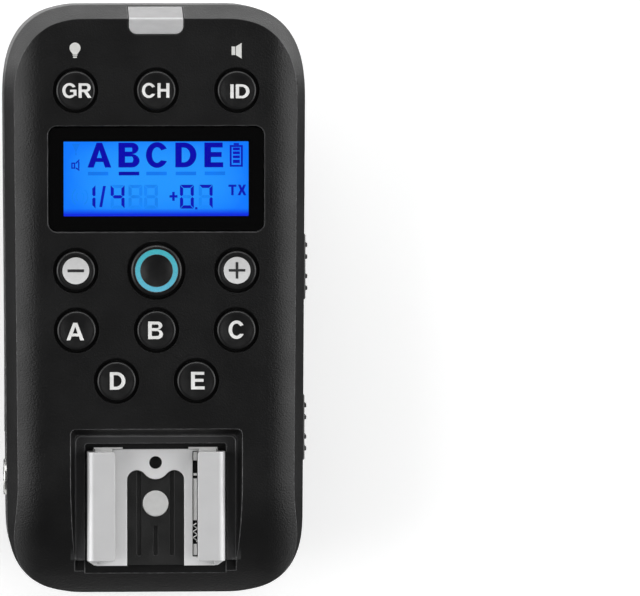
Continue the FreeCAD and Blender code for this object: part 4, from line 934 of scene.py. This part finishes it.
# ---- Floor, light and camera -------------------------------------------------------------
mesh = bpy.data.meshes.new("floor")
bm = bmesh.new()
bmesh.ops.create_grid(bm, x_segments=1, y_segments=1, size=3.0)
bm.to_mesh(mesh)
bm.free()
floor = bpy.data.objects.new("floor", mesh)
floor.location = (0, 0, -0.0012)
scene.collection.objects.link(floor)
floor_mat, floor_tree, floor_shader = new_material("floor_white")
faint_patches = remap(floor_tree, noise(floor_tree, 6, 3.0), 0.0, 1.0)
floor_tint = mix(floor_tree, faint_patches, (0.90, 0.90, 0.90), (0.93, 0.93, 0.93))
floor_tree.links.new(floor_tint, floor_shader.inputs["Base Color"])
floor_shader.inputs["Roughness"].default_value = 0.9
floor_shader.inputs["Emission Color"].default_value = (1.0, 1.0, 1.0, 1.0)
floor_shader.inputs["Emission Strength"].default_value = 0.35
floor_shader.inputs["Specular IOR Level"].default_value = 0.0
mesh.materials.append(floor_mat)

# Dark cards flat on the floor on each side, seen only in the gloss of the steep side walls.
CARD = {"left_card": (-0.075, -0.027), "right_card": (0.027, 0.075)}
card_mat, card_tree, card_shader = new_material("card_black")
card_shader.inputs["Base Color"].default_value = (0.05, 0.05, 0.05, 1.0)
card_tree.links.new(remap(card_tree, noise(card_tree, 20, 2.0), 0.8, 0.95), card_shader.inputs["Roughness"])
for card_name, (x0, x1) in CARD.items():
    card_mesh = bpy.data.meshes.new(card_name)
    corners = [(x0, -0.03), (x1, -0.03), (x1, 0.066), (x0, 0.066)]
    card_mesh.from_pydata([(x, y, -0.0006) for x, y in corners], [], [(0, 1, 2, 3)])
    card_mesh.materials.append(card_mat)
    card = bpy.data.objects.new(card_name, card_mesh)
    scene.collection.objects.link(card)
    card.visible_camera = False
    card.visible_diffuse = False
    card.visible_shadow = False
    card.visible_transmission = False


def area_light(name, place, target, size, power):
    """A white rectangular light at place, turned to target; lengths in metres."""
    data = bpy.data.lights.new(name, "AREA")
    data.shape = "RECTANGLE"
    data.size, data.size_y = size
    data.energy = power
    obj = bpy.data.objects.new(name, data)
    scene.collection.objects.link(obj)
    obj.location = place
    obj.rotation_euler = (Vector(target) - Vector(place)).to_track_quat("-Z", "Y").to_euler()
    return obj


MIDDLE = (0, 0.031, 0.02)
SIDE_POWER = 6.0
area_light("left_softbox", (-0.9, 0.05, 0.55), MIDDLE, (0.7, 1.2), SIDE_POWER)
area_light("right_softbox", (0.9, 0.05, 0.55), MIDDLE, (0.7, 1.2), SIDE_POWER)
area_light("far_softbox", (0.0, 1.0, 0.6), MIDDLE, (1.2, 0.6), 6.0)
area_light("overhead", (0.0, 0.03, 1.9), MIDDLE, (1.2, 1.2), 0.25)

world = bpy.data.worlds.new("studio")
scene.world = world
world.use_nodes = True
sky = world.node_tree
sky_coord = sky.nodes.new("ShaderNodeTexCoord")
sky_split = sky.nodes.new("ShaderNodeSeparateXYZ")
sky.links.new(sky_coord.outputs["Generated"], sky_split.inputs[0])
sky_ramp = sky.nodes.new("ShaderNodeValToRGB")
sky.links.new(sky_split.outputs["Z"], sky_ramp.inputs["Fac"])
SKY_STOPS = ((0.0, 0.95), (0.45, 0.95), (0.76, 0.2), (0.9, 0.03))
for i, (position, value) in enumerate(SKY_STOPS):
    elements = sky_ramp.color_ramp.elements
    stop = elements[i] if i < 2 else elements.new(position)
    stop.position = position
    stop.color = (value, value, value, 1.0)
sky.links.new(sky_ramp.outputs["Color"], sky.nodes["Background"].inputs["Color"])
lens_side = remap(sky, sky_split.outputs["Y"], 0.15, 1.0, -0.9, 0.1)
left_boost = remap(sky, sky_split.outputs["X"], 1.75, 1.0, -0.95, -0.5)
right_boost = remap(sky, sky_split.outputs["X"], 1.0, 1.45, 0.5, 0.95)
ends = math_node(sky, "MULTIPLY", left_boost, right_boost)
strength = math_node(sky, "MULTIPLY", lens_side, ends)
sky.links.new(strength, sky.nodes["Background"].inputs["Strength"])
scene.view_settings.view_transform = "Standard"

# The camera looks almost straight down, from a little to the left and above.
DISTANCE = 1.3
LEAN_X = 2.3
LEAN_Y = 3.0
TARGET = Vector((24.8, 31.4, Z_TOP)) * MM
body_x = -DISTANCE * math.tan(math.radians(LEAN_X))
body_y = 0.031 + DISTANCE * math.tan(math.radians(LEAN_Y))
place = Vector((body_x, body_y, DISTANCE + Z_TOP * MM))
camera_data = bpy.data.cameras.new("camera")
camera = bpy.data.objects.new("camera", camera_data)
scene.collection.objects.link(camera)
out = (place - TARGET).normalized()
side = Vector((0, 1, 0)).cross(out).normalized()
up = out.cross(side)
camera.matrix_world = Matrix.Translation(place) @ Matrix((side, up, out)).transposed().to_4x4()
FRAME_WIDTH = 96.96 * MM
camera_data.sensor_width = 36.0
camera_data.lens = 36.0 * (place - TARGET).length / FRAME_WIDTH
camera_data.clip_start = 0.01
camera_data.clip_end = 20.0
scene.camera = camera
